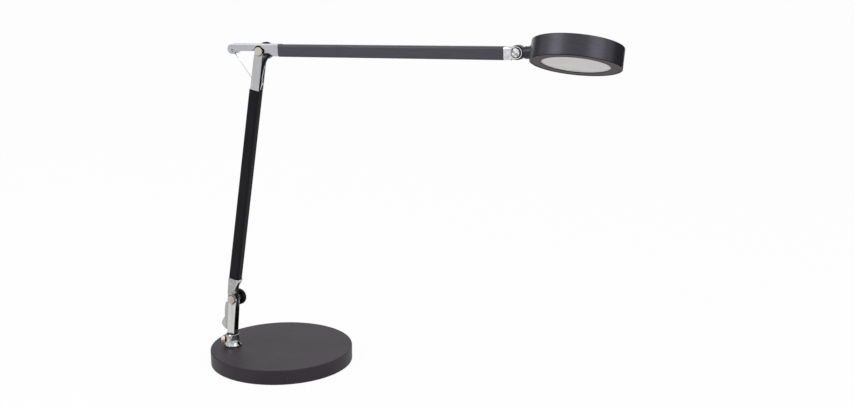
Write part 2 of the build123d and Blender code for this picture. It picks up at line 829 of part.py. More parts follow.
with BuildPart() as joint_hubs:
    with BuildSketch(lower.offset(-hub_start)):
        with Locations(*joint_places):
            Circle(hub_radius)
            Circle(axle_bore, mode=Mode.SUBTRACT)
    extrude(amount=-hub_length)
keep(joint_hubs, "joint_hubs")


# Friction knobs on the far side
def knob(along):
    with BuildPart() as grip:
        with BuildSketch(lower.offset(-knob_start)) as knob_face:
            with Locations((along, 0)):
                Circle(knob_radius)
        extrude(knob_face.sketch, amount=-knob_thickness)
        fillet(grip.edges(), knob_round)
        with BuildSketch(lower.offset(-knob_start)) as flute_face:
            with Locations((along, 0)):
                with PolarLocations(knob_radius, knob_flutes):
                    Circle(knob_flute_radius)
        extrude(flute_face.sketch, amount=-knob_thickness, mode=Mode.SUBTRACT)
        with BuildSketch(lower.offset(-knob_start)) as bore_face:
            with Locations((along, 0)):
                Circle(axle_bore)
        extrude(bore_face.sketch, amount=-knob_bore_depth, mode=Mode.SUBTRACT)
    return grip


lower_knob = knob(0)
keep(lower_knob, "lower_knob")
elbow_knob = knob(lower_length)
keep(elbow_knob, "elbow_knob")

# Elbow casting: the rear lever, the tongue between the bracket's cheeks, the block and the plug
casting_half = 6.8
casting_over = 0.5
casting_inset = 0.8
casting_top = upper_tube_up + tube_depth / 2 + casting_over
casting_bottom = upper_tube_up - tube_depth / 2 + casting_inset
lever_end_along = -48.5
lever_end_radius = 7.4
lever_under = 0.3
lever_blend = 12.0
casting_edge = 1.2
recess_radius = 8.2
relief_back = 12.0
relief_half = 8.1
relief_depth = 3.5
nose_along = 11.2
chin_along = 24.4
tongue_radius = 6.6
tongue_under = -2.5
tongue_back = -20.0
upper_lead_up = upper_tube_up - tube_depth / 2 + tube_wall + lead_radius + side_gap
groove_top = upper_lead_up + lead_radius + side_gap
groove_half = lead_radius + 2 * side_gap
lever_slot_half = 0.9
lever_slot_top = lever_pin_up + lever_pin_radius + cut_over

with BuildPart() as elbow_casting:
    casting_outline = [
        (upper_tube_start, casting_top),
        (lever_end_along, casting_top),
        (lever_end_along, lever_under),
        (-relief_back, lever_under),
        (-relief_half, lever_under + relief_depth),
        (relief_half, lever_under + relief_depth),
        (nose_along, lever_under),
        (chin_along, casting_bottom),
        (upper_tube_start, casting_bottom),
    ]
    with BuildSketch(upper) as casting_face:
        with BuildLine():
            Polyline(*casting_outline, close=True)
        make_face()
        with Locations((lever_end_along, casting_top - lever_end_radius)):
            Circle(lever_end_radius)
        corner_place = Vector(lever_end_along + lever_end_radius, lever_under)
        corner = casting_face.vertices().sort_by_distance(upper.from_local_coords(corner_place))[0]
        fillet(corner, lever_blend)
    extrude(casting_face.sketch, amount=casting_half, both=True)
    fillet(elbow_casting.faces().filter_by(Axis.Y).edges(), casting_edge)
    barrel(upper, 0, 0, recess_radius, casting_half, Mode.SUBTRACT)
    tongue = [
        (tongue_back, casting_top),
        (tongue_back, lever_under),
        (-tongue_radius / 2, lever_under),
        (tongue_radius, tongue_under),
        (chin_along, tongue_under),
        (chin_along, casting_top),
    ]
    slab(upper, tongue, tongue_half)
    barrel(upper, 0, 0, tongue_radius, tongue_half)
    upper_plug = across(upper, upper_tube_start, upper_tube_up)
    rounded_bar(upper_plug, plug_depth, plug_width, plug_round, plug_length)
    groove = [
        (tongue_radius, groove_top),
        (upper_tube_start + plug_length + cut_over, groove_top),
        (upper_tube_start + plug_length + cut_over, -tube_depth),
        (tongue_radius, -tube_depth),
    ]
    slab(upper, groove, groove_half, Mode.SUBTRACT)
    lever_slot = [
        (lever_pin_along - lever_end_radius, lever_slot_top),
        (lever_pin_along + 2 * lever_end_radius, lever_slot_top),
        (lever_pin_along + 2 * lever_end_radius, -tube_depth),
        (lever_pin_along - lever_end_radius, -tube_depth),
    ]
    slab(upper.offset(lever_wire_near), lever_slot, lever_slot_half, Mode.SUBTRACT)
    barrel(upper, 0, 0, axle_bore, casting_half, Mode.SUBTRACT)
    barrel(upper, lever_pin_along, lever_pin_up, lever_pin_radius + running_gap / 2, casting_half, Mode.SUBTRACT)
keep(elbow_casting, "elbow_casting")

with BuildPart() as lever_pin:
    barrel(upper, lever_pin_along, lever_pin_up, lever_pin_radius, casting_half + side_gap)
keep(lever_pin, "lever_pin")

# Cable guide: a black wedge under the casting that leads the cable in
guide_half = 4.3
guide_along = 10.6
guide_up = -0.7
guide_length = 10.4
guide_depth = 9.8
guide_shares = ((0, 0), (0.06, 1), (0.33, 0.84), (1, 0.53))
guide_in = (12.0, -5.7)
guide_out = 22.0
guide_gap = 0.15
elbow_lead_mid = (3.5, -17.5)

elbow_lead_points = [
    arm_lead_points[2],
    arm_lead_points[2] + (arm_lead_points[2] - arm_lead_points[1]).normalized() * elbow_lead_start / 4,
    place(upper, *elbow_lead_mid),
    place(upper, *guide_in),
    place(upper, guide_out, upper_lead_up - elbow_lead_shift / 2),
    place(upper, (guide_out + upper_tube_start) / 2, upper_lead_up),
    place(upper, upper_tube_start, upper_lead_up),
]

with BuildPart() as cable_guide:
    guide_outline = [(guide_along + a * guide_length, guide_up - b * guide_depth) for a, b in guide_shares]
    slab(upper, guide_outline, guide_half)
    for start, stop in zip(elbow_lead_points[2:5], elbow_lead_points[3:6]):
        local_start = upper.to_local_coords(start)
        local_stop = upper.to_local_coords(stop)
        trough = [
            (local_start.X, local_start.Y),
            (local_stop.X, local_stop.Y),
            (local_stop.X, casting_top),
            (local_start.X, casting_top),
        ]
        slab(upper, trough, lead_radius + guide_gap, Mode.SUBTRACT)
    tongue_clear = [
        (0, tongue_under - guide_gap),
        (chin_along + cut_over, tongue_under - guide_gap),
        (chin_along + cut_over, casting_top),
        (0, casting_top),
    ]
    slab(upper, tongue_clear, tongue_half + guide_gap, Mode.SUBTRACT)
    with BuildLine():
        FilletPolyline(*elbow_lead_points, radius=bend_radii(elbow_lead_points, bend_share))
    with BuildSketch(Plane(origin=elbow_lead_points[0], z_dir=elbow_lead_points[1] - elbow_lead_points[0])):
        Circle(lead_radius + guide_gap)
    sweep(mode=Mode.SUBTRACT)
keep(cable_guide, "cable_guide")

elbow_lead = lead_run("elbow lead", elbow_lead_points)
keep(elbow_lead, "elbow_lead")

# Upper arm tube
upper_tube_end = upper_length - upper_tube_stop

with BuildPart() as upper_tube:
    upper_start_plane = across(upper, upper_tube_start, upper_tube_up)
    upper_tube_length = upper_tube_end - upper_tube_start
    rounded_bar(upper_start_plane, tube_depth, tube_width, tube_round, upper_tube_length)
    rounded_bar(
        upper_start_plane,
        tube_depth - 2 * tube_wall,
        tube_width - 2 * tube_wall,
        tube_round - tube_wall,
        upper_tube_length,
        Mode.SUBTRACT,
    )
keep(upper_tube, "upper_tube")

# Head fork: a plug, a chrome block and two ears
fork_block_end = -7.2
fork_round = 3.0
ear_radius = 8.2
ear_out = 6.8
ear_in = 4.6
barrel_radius = 9.5
barrel_half = 4.3
fork_clear = barrel_radius + 2 * slip_gap
hinge_radius = 1.8
hinge_bore = hinge_radius + running_gap

wrist_tube_up = upper_tube_up - wrist_up
wrist_groove_top = groove_top - wrist_up
wrist_lead_up = upper_lead_up - wrist_up

with BuildPart() as head_fork:
    block_plane = across(wrist, -upper_tube_stop, wrist_tube_up)
    rounded_bar(block_plane, tube_depth - plug_gap, tube_width, fork_round, upper_tube_stop + fork_block_end)
    ear_bar = [
        (fork_block_end - fork_round, ear_radius),
        (0, ear_radius),
        (0, -ear_radius),
        (fork_block_end - fork_round, -ear_radius),
    ]
    slab(wrist, ear_bar, ear_out)
    barrel(wrist, 0, 0, ear_radius, ear_out)
    barrel(wrist, 0, 0, fork_clear, ear_in, Mode.SUBTRACT)
    fork_plug = across(wrist, -upper_tube_stop - plug_length, wrist_tube_up)
    rounded_bar(fork_plug, plug_depth, plug_width, plug_round, plug_length)
    fork_groove = [
        (-upper_tube_stop - plug_length - cut_over, wrist_groove_top),
        (0, wrist_groove_top),
        (0, -tube_depth),
        (-upper_tube_stop - plug_length - cut_over, -tube_depth),
    ]
    slab(wrist, fork_groove, groove_half, Mode.SUBTRACT)
    barrel(wrist, 0, 0, hinge_bore, ear_out + cut_over, Mode.SUBTRACT)
keep(head_fork, "head_fork")

# Hinge pin of the head, with a chrome cap on each side and black rings under them
hinge_cap_radius = 5.7
hinge_cap_height = 1.6
hinge_cap_round = 0.7
ring_radius = 7.0
ring_thickness = 0.5

with BuildPart() as head_hinge_pin:
    pin_half = ear_out + ring_thickness
    barrel(wrist, 0, 0, hinge_radius, pin_half)
keep(head_hinge_pin, "head_hinge_pin")

with BuildPart() as hinge_caps:
    for side in (1, -1):
        with BuildSketch(wrist.offset(side * pin_half)) as cap_face:
            Circle(hinge_cap_radius)
        extrude(cap_face.sketch, amount=side * hinge_cap_height)
    fillet(hinge_caps.faces().group_by(Axis.Y)[0].edges(), hinge_cap_round)
    fillet(hinge_caps.faces().group_by(Axis.Y)[-1].edges(), hinge_cap_round)
keep(hinge_caps, "hinge_caps")

with BuildPart() as hinge_rings:
    for side in (1, -1):
        with BuildSketch(wrist.offset(side * ear_out)) as ring_face:
            Circle(ring_radius)
            Circle(hinge_bore, mode=Mode.SUBTRACT)
        extrude(ring_face.sketch, amount=side * ring_thickness)
keep(hinge_rings, "hinge_rings")

# Lead through the upper arm and over the head hinge
upper_lead_stop = -14.0
upper_lead = lead_run(
    "upper lead",
    [place(upper, upper_tube_start, upper_lead_up), place(wrist, upper_lead_stop, wrist_lead_up)],
)
keep(upper_lead, "upper_lead")

lead_turn = 3.0
lead_centred = 9.6
head_lead_lap = 3.9
head_lead_start = neck_length - head_lead_lap
head_joint_points = [
    place(wrist, upper_lead_stop, wrist_lead_up),
    place(wrist, lead_turn, wrist_lead_up),
    place(neck_line, lead_centred, 0),
    place(neck_line, head_lead_start, 0),
]
head_joint_lead = lead_run("head joint lead", head_joint_points)
keep(head_joint_lead, "head_joint_lead")

# Knuckle: the barrel between the ears and the hollow shank that the neck turns on
shank_radius = 5.0
shank_bore = 2.5
collar_radius = 7.4
collar_start = 8.6
collar_end = 10.6
shank_over = 7.1
shank_end = neck_length + shank_over
knuckle_slot_half = 2.4
knuckle_web_half = 5.5
slot_top = -hinge_bore - side_gap - slip_gap
slot_turn = 1.3

with BuildPart() as knuckle:
    barrel(wrist, 0, 0, barrel_radius, barrel_half)
    web = [
        (0, knuckle_web_half),
        (collar_start, knuckle_web_half),
        (collar_start, -knuckle_web_half),
        (0, -knuckle_web_half),
    ]
    slab(neck_line, web, barrel_half)
    disc(across(neck_line, collar_start), shank_radius, shank_end - collar_start)
    disc(across(neck_line, collar_start), collar_radius, collar_end - collar_start)
    barrel(wrist, 0, 0, hinge_bore, barrel_half + cut_over, Mode.SUBTRACT)
    slot_outline = [
        (-barrel_radius - cut_over, slot_top),
        (slot_turn, slot_top),
        (collar_start - 2 * side_gap, shank_bore),
        (collar_end, shank_bore),
        (collar_end, -shank_bore),
        (shank_radius, -barrel_radius - cut_over),
        (-barrel_radius - cut_over, -barrel_radius - cut_over),
    ]
    slab(neck_line, slot_outline, knuckle_slot_half, Mode.SUBTRACT)
    disc(across(neck_line, collar_end - cut_over), shank_bore, shank_end - collar_end + cut_over, Mode.SUBTRACT)
keep(knuckle, "knuckle")

# Neck: a black sleeve that turns on the shank, with a flange shaped to the housing
neck_start = collar_end + side_gap
flange_radius = 10.2
flange_height = 3.3
flange_start = neck_length - flange_height
thread_radius = 6.6
thread_over = 5.1
neck_end = neck_length + thread_over
saddle_reach = head_reach - sqrt(head_radius**2 - flange_radius**2)

with BuildPart() as neck:
    disc(across(neck_line, neck_start), neck_radius, flange_start - neck_start)
    disc(across(neck_line, flange_start), flange_radius, saddle_reach - flange_start)
    disc(head.offset(-head_height), head_radius + running_gap, 2 * head_height, Mode.SUBTRACT)
    disc(across(neck_line, flange_start), thread_radius, neck_end - flange_start)
    disc(across(neck_line, neck_start), shank_radius + running_gap, neck_end - neck_start, Mode.SUBTRACT)
keep(neck, "neck")

# Nut that clamps the neck to the housing, and the clip that keeps the shank in
neck_nut_radius = 9.0
neck_nut_thickness = 2.4
clip_thickness = 0.8
housing_bore = head_radius - head_wall
neck_nut_start = head_reach - sqrt(housing_bore**2 - neck_nut_radius**2) + running_gap
clip_start = shank_end - 2 * clip_thickness

with BuildPart() as neck_nut:
    ring(across(neck_line, neck_nut_start), neck_nut_radius, thread_radius + thread_gap, neck_nut_thickness)
keep(neck_nut, "neck_nut")

with BuildPart() as roll_clip:
    ring(across(neck_line, clip_start), neck_radius - side_gap, shank_radius + running_gap, clip_thickness)
keep(roll_clip, "roll_clip")

# Head housing: a flat round can, open below, with bosses under its top
button_radius = 6.5
button_proud = 0.6
button_flange_radius = 7.6
button_flange = 0.8
head_screw_count = 3
head_screw_radius = 1.25
head_screw_head = 2.6
head_screw_head_height = 1.8
head_boss_radius = 3.5
pan_skirt_radius = diffuser_radius
pan_top = -2.0
pan_thickness = 2.0
head_screw_circle = pan_skirt_radius + head_screw_head + slip_gap
switch_boss_radius = 2.4
switch_boss_reach = 13.0
switch_board_top = 3.6
head_top = head_height / 2
under_top = head_top - head_wall

with BuildPart() as head_housing:
    disc(head.offset(-head_top), head_radius, head_height)
    fillet(head_housing.faces().sort_by(head_axis)[-1].edges(), head_edge_round)
    fillet(head_housing.faces().sort_by(head_axis)[0].edges(), head_rim_round)
    disc(head.offset(-head_top), housing_bore, head_height - head_wall, Mode.SUBTRACT)
    with BuildSketch(head.offset(pan_top)) as boss_face:
        with PolarLocations(head_screw_circle, head_screw_count):
            Circle(head_boss_radius)
    extrude(boss_face.sketch, amount=under_top + head_wall / 2 - pan_top)
    with BuildSketch(head.offset(pan_top)) as bore_face:
        with PolarLocations(head_screw_circle, head_screw_count):
            Circle(head_screw_radius + thread_gap)
    extrude(bore_face.sketch, amount=under_top - pan_top, mode=Mode.SUBTRACT)
    with BuildSketch(head.offset(switch_board_top)) as switch_face:
        with Locations((switch_boss_reach, 0), (-switch_boss_reach, 0)):
            Circle(switch_boss_radius)
    extrude(switch_face.sketch, amount=under_top + head_wall / 2 - switch_board_top)
    disc(head.offset(under_top - cut_over), button_radius + slip_gap, head_wall + 2 * cut_over, Mode.SUBTRACT)
    disc(across(neck_line, flange_start), thread_radius + thread_gap, neck_end - flange_start, Mode.SUBTRACT)
keep(head_housing, "head_housing")

# Bezel: the ring round the window, with a ledge for the diffuser
bezel_recess = 0.4
bezel_thickness = 2.0
bezel_lip = 1.2
diffuser_thickness = 2.0
bezel_bottom = bezel_recess - head_top
diffuser_bottom = bezel_bottom + bezel_lip

with BuildPart() as bezel:
    bezel_height = bezel_thickness
    ring(head.offset(bezel_bottom), housing_bore - slip_gap, window_radius, bezel_height)
    disc(head.offset(diffuser_bottom), diffuser_radius + side_gap, bezel_height, Mode.SUBTRACT)
keep(bezel, "bezel")

with BuildPart() as diffuser:
    disc(head.offset(diffuser_bottom), diffuser_radius, diffuser_thickness)
keep(diffuser, "diffuser")

# Heat sink: a spun pan whose skirt holds the diffuser down, with cooling ribs on the far half
pan_radius = head_screw_circle + head_boss_radius
pan_wall = 1.5
pan_bottom = diffuser_bottom + diffuser_thickness
rib_count = 5
rib_thickness = 1.6
rib_height = 3.2
rib_length = 40.0
rib_pitch = 7.0
rib_inset = 18.0
rib_reach = pan_skirt_radius - rib_inset

with BuildPart() as heat_sink:
    disc(head.offset(pan_bottom), pan_skirt_radius, pan_top - pan_bottom)
    disc(head.offset(pan_top - pan_thickness), pan_radius, pan_thickness)
    disc(head.offset(pan_bottom), pan_skirt_radius - pan_wall, pan_top - pan_thickness - pan_bottom, Mode.SUBTRACT)
    with BuildSketch(head.offset(pan_top - pan_thickness)) as hole_face:
        with PolarLocations(head_screw_circle, head_screw_count):
            Circle(head_screw_radius + thread_gap)
    extrude(hole_face.sketch, amount=pan_thickness, mode=Mode.SUBTRACT)
    with BuildSketch(head.offset(pan_top)) as rib_face:
        with Locations((rib_reach, 0)):
            with GridLocations(rib_pitch, rib_pitch, rib_count, 1):
                Rectangle(rib_thickness, rib_length)
    extrude(rib_face.sketch, amount=rib_height)
keep(heat_sink, "heat_sink")

# LED board with three rings of chips
board_inset = 4.5
board_radius = pan_skirt_radius - board_inset
board_thickness = 1.6
chip_side = 3.0
chip_thickness = 0.7
chip_rings = 3
chip_edge = 6.0
chips_per_ring = 8
chip_step = (board_radius - chip_edge) / chip_rings
board_top = pan_top - pan_thickness

with BuildPart() as led_board:
    disc(head.offset(board_top - board_thickness), board_radius, board_thickness)
keep(led_board, "led_board")

with BuildPart() as led_chips:
    with BuildSketch(head.offset(board_top - board_thickness - chip_thickness)) as chip_face:
        for ring_number in range(1, chip_rings + 1):
            with PolarLocations(chip_step * ring_number, chips_per_ring * ring_number):
                Rectangle(chip_side, chip_side)
    extrude(chip_face.sketch, amount=chip_thickness)
keep(led_chips, "led_chips")

# Screws that hold the heat sink to the housing's bosses
head_screw_length = 8.0

with BuildPart() as head_screws:
    with BuildSketch(head.offset(board_top)) as screw_head_face:
        with PolarLocations(head_screw_circle, head_screw_count):
            Circle(head_screw_head)
    extrude(screw_head_face.sketch, amount=-head_screw_head_height)
    with BuildSketch(head.offset(board_top)) as shank_face:
        with PolarLocations(head_screw_circle, head_screw_count):
            Circle(head_screw_radius)
    extrude(shank_face.sketch, amount=head_screw_length)
keep(head_screws, "head_screws")

# Switch: a small board on two bosses, with the switch under the button
switch_board_length = 34.0
switch_board_width = 22.0
switch_board_thickness = 1.6
switch_side = 13.0
switch_height = 5.4
button_travel = 0.8
stem_radius = 2.0
stem_length = 1.5
button_bottom = under_top - side_gap - button_flange
switch_top = switch_board_top + switch_height
stem_bottom = button_bottom - stem_length

with BuildPart() as switch_module:
    switch_board = head.offset(switch_board_top - switch_board_thickness)
    block(switch_board, switch_board_length, switch_board_width, switch_board_thickness)
    block(head.offset(switch_board_top), switch_side, switch_side, switch_height)
    stem_room = stem_bottom - button_travel - slip_gap
    disc(head.offset(stem_room), stem_radius + side_gap, switch_top - stem_room, Mode.SUBTRACT)
keep(switch_module, "switch_module")

# Push button in the housing's top
button_round = 0.4

with BuildPart() as push_button:
    disc(head.offset(button_bottom), button_flange_radius, button_flange)
    disc(head.offset(button_bottom), button_radius, head_top + button_proud - button_bottom)
    fillet(push_button.faces().sort_by(head_axis)[-1].edges(), button_round)
    disc(head.offset(stem_bottom), stem_radius, stem_length)
keep(push_button, "push_button")

# Terminal block on the heat sink, and the lead from the neck to it
terminal_inset = 22.1
terminal_start = neck_length + terminal_inset
terminal_length = 9.0
terminal_width = 12.0
terminal_height = 6.5

with BuildPart() as terminal_block:
    terminal_at = head.from_local_coords(Vector(terminal_start + terminal_length / 2 - head_reach, 0, pan_top))
    terminal_plane = Plane(origin=terminal_at, x_dir=head.x_dir, z_dir=head.z_dir)
    block(terminal_plane, terminal_length, terminal_width, terminal_height)
keep(terminal_block, "terminal_block")

head_lead = lead_run("head lead", [place(neck_line, head_lead_start, 0), place(neck_line, terminal_start, 0)])
keep(head_lead, "head_lead")
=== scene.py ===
# Desk lamp, dressed: materials, leads, wires and small details on the solid model.
# Metres, unless a comment says millimetres. +Z is up, and the arms lie in a plane parallel to XZ.
import json
import math

import bmesh
import bpy
from mathutils import Matrix, Vector


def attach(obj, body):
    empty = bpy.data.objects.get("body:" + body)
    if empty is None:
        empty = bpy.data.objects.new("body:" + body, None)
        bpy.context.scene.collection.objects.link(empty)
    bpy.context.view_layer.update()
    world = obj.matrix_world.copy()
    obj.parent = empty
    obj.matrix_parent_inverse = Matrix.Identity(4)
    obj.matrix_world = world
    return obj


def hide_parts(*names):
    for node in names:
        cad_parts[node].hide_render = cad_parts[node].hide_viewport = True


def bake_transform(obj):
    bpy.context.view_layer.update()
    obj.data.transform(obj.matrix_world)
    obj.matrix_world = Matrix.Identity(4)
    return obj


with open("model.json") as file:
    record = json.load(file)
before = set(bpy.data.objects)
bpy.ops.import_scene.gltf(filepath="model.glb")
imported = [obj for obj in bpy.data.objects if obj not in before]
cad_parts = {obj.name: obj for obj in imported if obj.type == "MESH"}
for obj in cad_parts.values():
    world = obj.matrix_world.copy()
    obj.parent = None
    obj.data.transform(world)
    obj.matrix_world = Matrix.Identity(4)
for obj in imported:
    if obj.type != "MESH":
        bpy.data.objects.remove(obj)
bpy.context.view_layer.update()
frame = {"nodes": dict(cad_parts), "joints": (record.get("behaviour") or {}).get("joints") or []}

MM = 0.001

# Places and directions, from the frame's joints
joints = {joint["name"]: joint for joint in frame["joints"]}


def pivot(name):
    return Vector(joints[name]["pos_m"])


def direction(name):
    return Vector(joints[name]["axis"]).normalized()


LOWER_PIVOT = pivot("lower_arm_tilt")
ELBOW_PIVOT = pivot("elbow")
HEAD_PIVOT = pivot("head_pitch")
NECK_WAY = direction("head_roll")
HEAD_UP = direction("button_press")
NEAR = Vector((0, -1, 0))


class ArmFrame:
    """A flat frame in the arms' plane: along the arm, and to its upper or rear side."""

    def __init__(self, origin, way):
        self.origin = origin
        self.way = way.normalized()
        self.up = Vector((-self.way.z, 0, self.way.x))

    def at(self, along, up, near=0.0):
        """A place given in millimetres."""
        return self.origin + (self.way * along + self.up * up + NEAR * near) * MM

    def turn(self):
        return Matrix((self.way, self.up, NEAR)).transposed()


UPPER_ANGLE = math.radians(1.94)
UPPER_WAY = Vector((math.cos(UPPER_ANGLE), 0, math.sin(UPPER_ANGLE)))
lower = ArmFrame(LOWER_PIVOT, ELBOW_PIVOT - LOWER_PIVOT)
upper = ArmFrame(ELBOW_PIVOT, UPPER_WAY)
wrist = ArmFrame(HEAD_PIVOT, UPPER_WAY)
neck = ArmFrame(HEAD_PIVOT, NECK_WAY)


# Camera, fitted to the photo's outlines
CAMERA_PLACE = Vector((978.7, -1379.0, 641.5)) * MM
CAMERA_AZIMUTH = math.radians(27.62)
CAMERA_PITCH = math.radians(13.19)
FOCAL_PIXELS = 1129.3
PHOTO_WIDTH = 854
SENSOR = 36.0
VIEW_LIMIT = 100.0


def make_camera():
    data = bpy.data.cameras.new("camera")
    data.sensor_width = SENSOR
    data.lens = SENSOR * FOCAL_PIXELS / PHOTO_WIDTH
    data.clip_end = VIEW_LIMIT
    camera = bpy.data.objects.new("camera", data)
    bpy.context.collection.objects.link(camera)
    camera.location = CAMERA_PLACE
    camera.rotation_euler = (math.pi / 2 - CAMERA_PITCH, 0, CAMERA_AZIMUTH)
    bpy.context.scene.camera = camera


# Materials: every one is a node tree with its own grain, colour drift and roughness

# Sockets of the node that mixes two colours
MIX_SHARE, MIX_FIRST, MIX_SECOND, MIX_RESULT = 0, 6, 7, 2
# Half the width of the soft edge of a band of painted shade
SOFT_EDGE = 0.0001


class Shader:
    """Builds one material's nodes."""

    def __init__(self, name):
        self.material = bpy.data.materials.new(name)
        self.material.use_nodes = True
        self.tree = self.material.node_tree
        self.shader = self.tree.nodes["Principled BSDF"]
        self.coords = self.node("ShaderNodeTexCoord").outputs["Object"]

    def node(self, kind, **values):
        node = self.tree.nodes.new(kind)
        for key, value in values.items():
            setattr(node, key, value)
        return node

    def join(self, output, socket):
        self.tree.links.new(output, socket)

    def noise(self, scale, detail, roughness=0.55, stretch=None, turn=None):
        """Grain, which may be stretched along turned axes."""
        coords = self.coords
        if stretch is not None:
            mapping = self.node("ShaderNodeMapping")
            mapping.vector_type = "TEXTURE"
            if turn is not None:
                mapping.inputs["Rotation"].default_value = turn.to_euler()
            mapping.inputs["Scale"].default_value = stretch
            self.join(coords, mapping.inputs["Vector"])
            coords = mapping.outputs["Vector"]
        noise = self.node("ShaderNodeTexNoise")
        noise.inputs["Scale"].default_value = scale
        noise.inputs["Detail"].default_value = detail
        noise.inputs["Roughness"].default_value = roughness
        self.join(coords, noise.inputs["Vector"])
        return noise.outputs["Fac"]

    def spread(self, fac, low, high, start=0.3, stop=0.7):
        """A value that goes from low to high while the factor goes from start to stop."""
        spread = self.node("ShaderNodeMapRange")
        spread.inputs["From Min"].default_value = start
        spread.inputs["From Max"].default_value = stop
        spread.inputs["To Min"].default_value = low
        spread.inputs["To Max"].default_value = high
        self.join(fac, spread.inputs["Value"])
        return spread.outputs["Result"]

    def around(self, fac, middle, less, more):
        """A value that varies a little round its middle."""
        return self.spread(fac, middle - less, middle + more)

    def below(self, fac, start, stop):
        """One below start, zero above stop."""
        return self.spread(fac, 1.0, 0.0, start, stop)

    def colours(self, fac, first, second, start=0.35, stop=0.65):
        """A colour that goes from first to second while the factor goes from start to stop."""
        ramp = self.node("ShaderNodeValToRGB")
        ramp.color_ramp.elements[0].position = start
        ramp.color_ramp.elements[0].color = (*first, 1)
        ramp.color_ramp.elements[1].position = stop
        ramp.color_ramp.elements[1].color = (*second, 1)
        self.join(fac, ramp.inputs["Fac"])
        return ramp.outputs["Color"]

    def reach(self, centre):
        """Distance from a joint's axis, which runs along Y."""
        shift = self.node("ShaderNodeVectorMath", operation="SUBTRACT")
        shift.inputs[1].default_value = centre
        self.join(self.coords, shift.inputs[0])
        flat = self.node("ShaderNodeVectorMath", operation="MULTIPLY")
        flat.inputs[1].default_value = (1, 0, 1)
        self.join(shift.outputs[0], flat.inputs[0])
        length = self.node("ShaderNodeVectorMath", operation="LENGTH")
        self.join(flat.outputs[0], length.inputs[0])
        return length.outputs["Value"]

    def side_of(self, way):
        """Distance along a direction."""
        dot = self.node("ShaderNodeVectorMath", operation="DOT_PRODUCT")
        dot.inputs[1].default_value = way
        self.join(self.coords, dot.inputs[0])
        return dot.outputs["Value"]

    def band(self, value, low, high):
        """One between two values, else zero, with soft edges."""
        shift = self.node("ShaderNodeMath", operation="SUBTRACT")
        shift.inputs[1].default_value = (low + high) / 2
        self.join(value, shift.inputs[0])
        away = self.node("ShaderNodeMath", operation="ABSOLUTE")
        self.join(shift.outputs[0], away.inputs[0])
        half = (high - low) / 2
        return self.below(away.outputs[0], half - SOFT_EDGE, half + SOFT_EDGE)

    def mixed(self, fac, first, second):
        """The first colour where the factor is zero, the second where it is one."""
        mix = self.node("ShaderNodeMix", data_type="RGBA")
        self.join(fac, mix.inputs[MIX_SHARE])
        for colour, place in ((first, MIX_FIRST), (second, MIX_SECOND)):
            if isinstance(colour, bpy.types.NodeSocket):
                self.join(colour, mix.inputs[place])
            else:
                mix.inputs[place].default_value = (*colour, 1)
        return mix.outputs[MIX_RESULT]

    def bump(self, fac, strength, distance, under=None):
        """Relief from a factor, which may lie on top of another relief."""
        bump = self.node("ShaderNodeBump")
        bump.inputs["Strength"].default_value = strength
        bump.inputs["Distance"].default_value = distance
        self.join(fac, bump.inputs["Height"])
        if under is not None:
            self.join(under, bump.inputs["Normal"])
        return bump.outputs["Normal"]

    def set(self, **sockets):
        """Sets or joins the sockets named, and gives the material."""
        for key, value in sockets.items():
            socket = self.shader.inputs[key.replace("_", " ")]
            if isinstance(value, bpy.types.NodeSocket):
                self.join(value, socket)
            else:
                socket.default_value = value
        return self.material


def grey(value):
    return (value, value, value)


def shaded(colour, share):
    return tuple(share * part for part in colour)


# Tints of the gloss, the colour of the rim, and the black of the painted shade and painted
# reflection
WHITE = (1, 1, 1, 1)
PLUM = (1.0, 0.74, 0.96, 1)
MAUVE = (1.0, 0.80, 0.88, 1)
RIM_BLACK = (0.003, 0.0026, 0.003)
PAINTED_DARK = (0.012, 0.012, 0.013)

# Grains that more than one material has
BRUSHED = {"scale": 420.0, "detail": 5.0, "roughness": 0.7}
SLOW_DRIFT = {"scale": 12.0, "detail": 2.0}
RIPPLE = {"scale": 220.0, "detail": 2.0}

# How far the grain is stretched along each axis
EVEN = (1.0, 1.0, 1.0)
LONG_GRAIN = (14.0, 1.0, 1.0)
RING_GRAIN = (6.0, 6.0, 0.35)
POST_GRAIN = (1.0, 1.0, 9.0)
along_lower = lower.turn()
along_upper = upper.turn()
HEAD_TURN = Matrix((NECK_WAY, HEAD_UP.cross(NECK_WAY), HEAD_UP)).transposed()

# The housing's black rim: the housing's lowest place along its own up direction, and how far
# above it the black starts to fade and has faded
housing = frame["nodes"]["head_housing"]
HOUSING_LOW = min(
    (housing.matrix_world @ vertex.co).dot(HEAD_UP) for vertex in housing.data.vertices
)
RIM_START = 0.0004
RIM_STOP = 0.0011

# The post's rear fin, coloured darker as painted shade, and a darker painted shade line just behind
# its front edge: the direction from the fin to the front, where the fin begins, half the width of
# that edge, and how far behind it the painted shade line has ended and starts to end
FIN_WAY = (1.0, 0.0, -0.1027)
FIN_PLACE = -0.07874
FIN_EDGE = 0.0003
SHADE_LINE_START = 0.0017
SHADE_LINE_STOP = 0.0012


def powder_black(
    name, dark, pale, rough, specular, grain=1500.0, depth=0.00012, strength=0.25, sheen=WHITE
):
    s = Shader(name)
    drift = s.noise(scale=18.0, detail=3.0)
    speck = s.noise(scale=grain, detail=2.0, roughness=0.7)
    return s.set(
        Base_Color=s.colours(drift, dark, pale),
        Roughness=s.around(speck, rough, less=0.05, more=0.06),
        Specular_IOR_Level=specular,
        Specular_Tint=sheen,
        Normal=s.bump(speck, strength, depth),
    )


def brushed_black(name, dark, pale, rough, metal, specular, stretch, turn):
    s = Shader(name)
    lines = s.noise(**BRUSHED, stretch=stretch, turn=turn)
    drift = s.noise(**SLOW_DRIFT)
    return s.set(
        Base_Color=s.colours(lines, dark, pale, start=0.3, stop=0.75),
        Metallic=metal,
        Specular_IOR_Level=specular,
        Roughness=s.around(drift, rough, less=0.04, more=0.05),
        Normal=s.bump(lines, strength=0.12, distance=0.00006),
    )


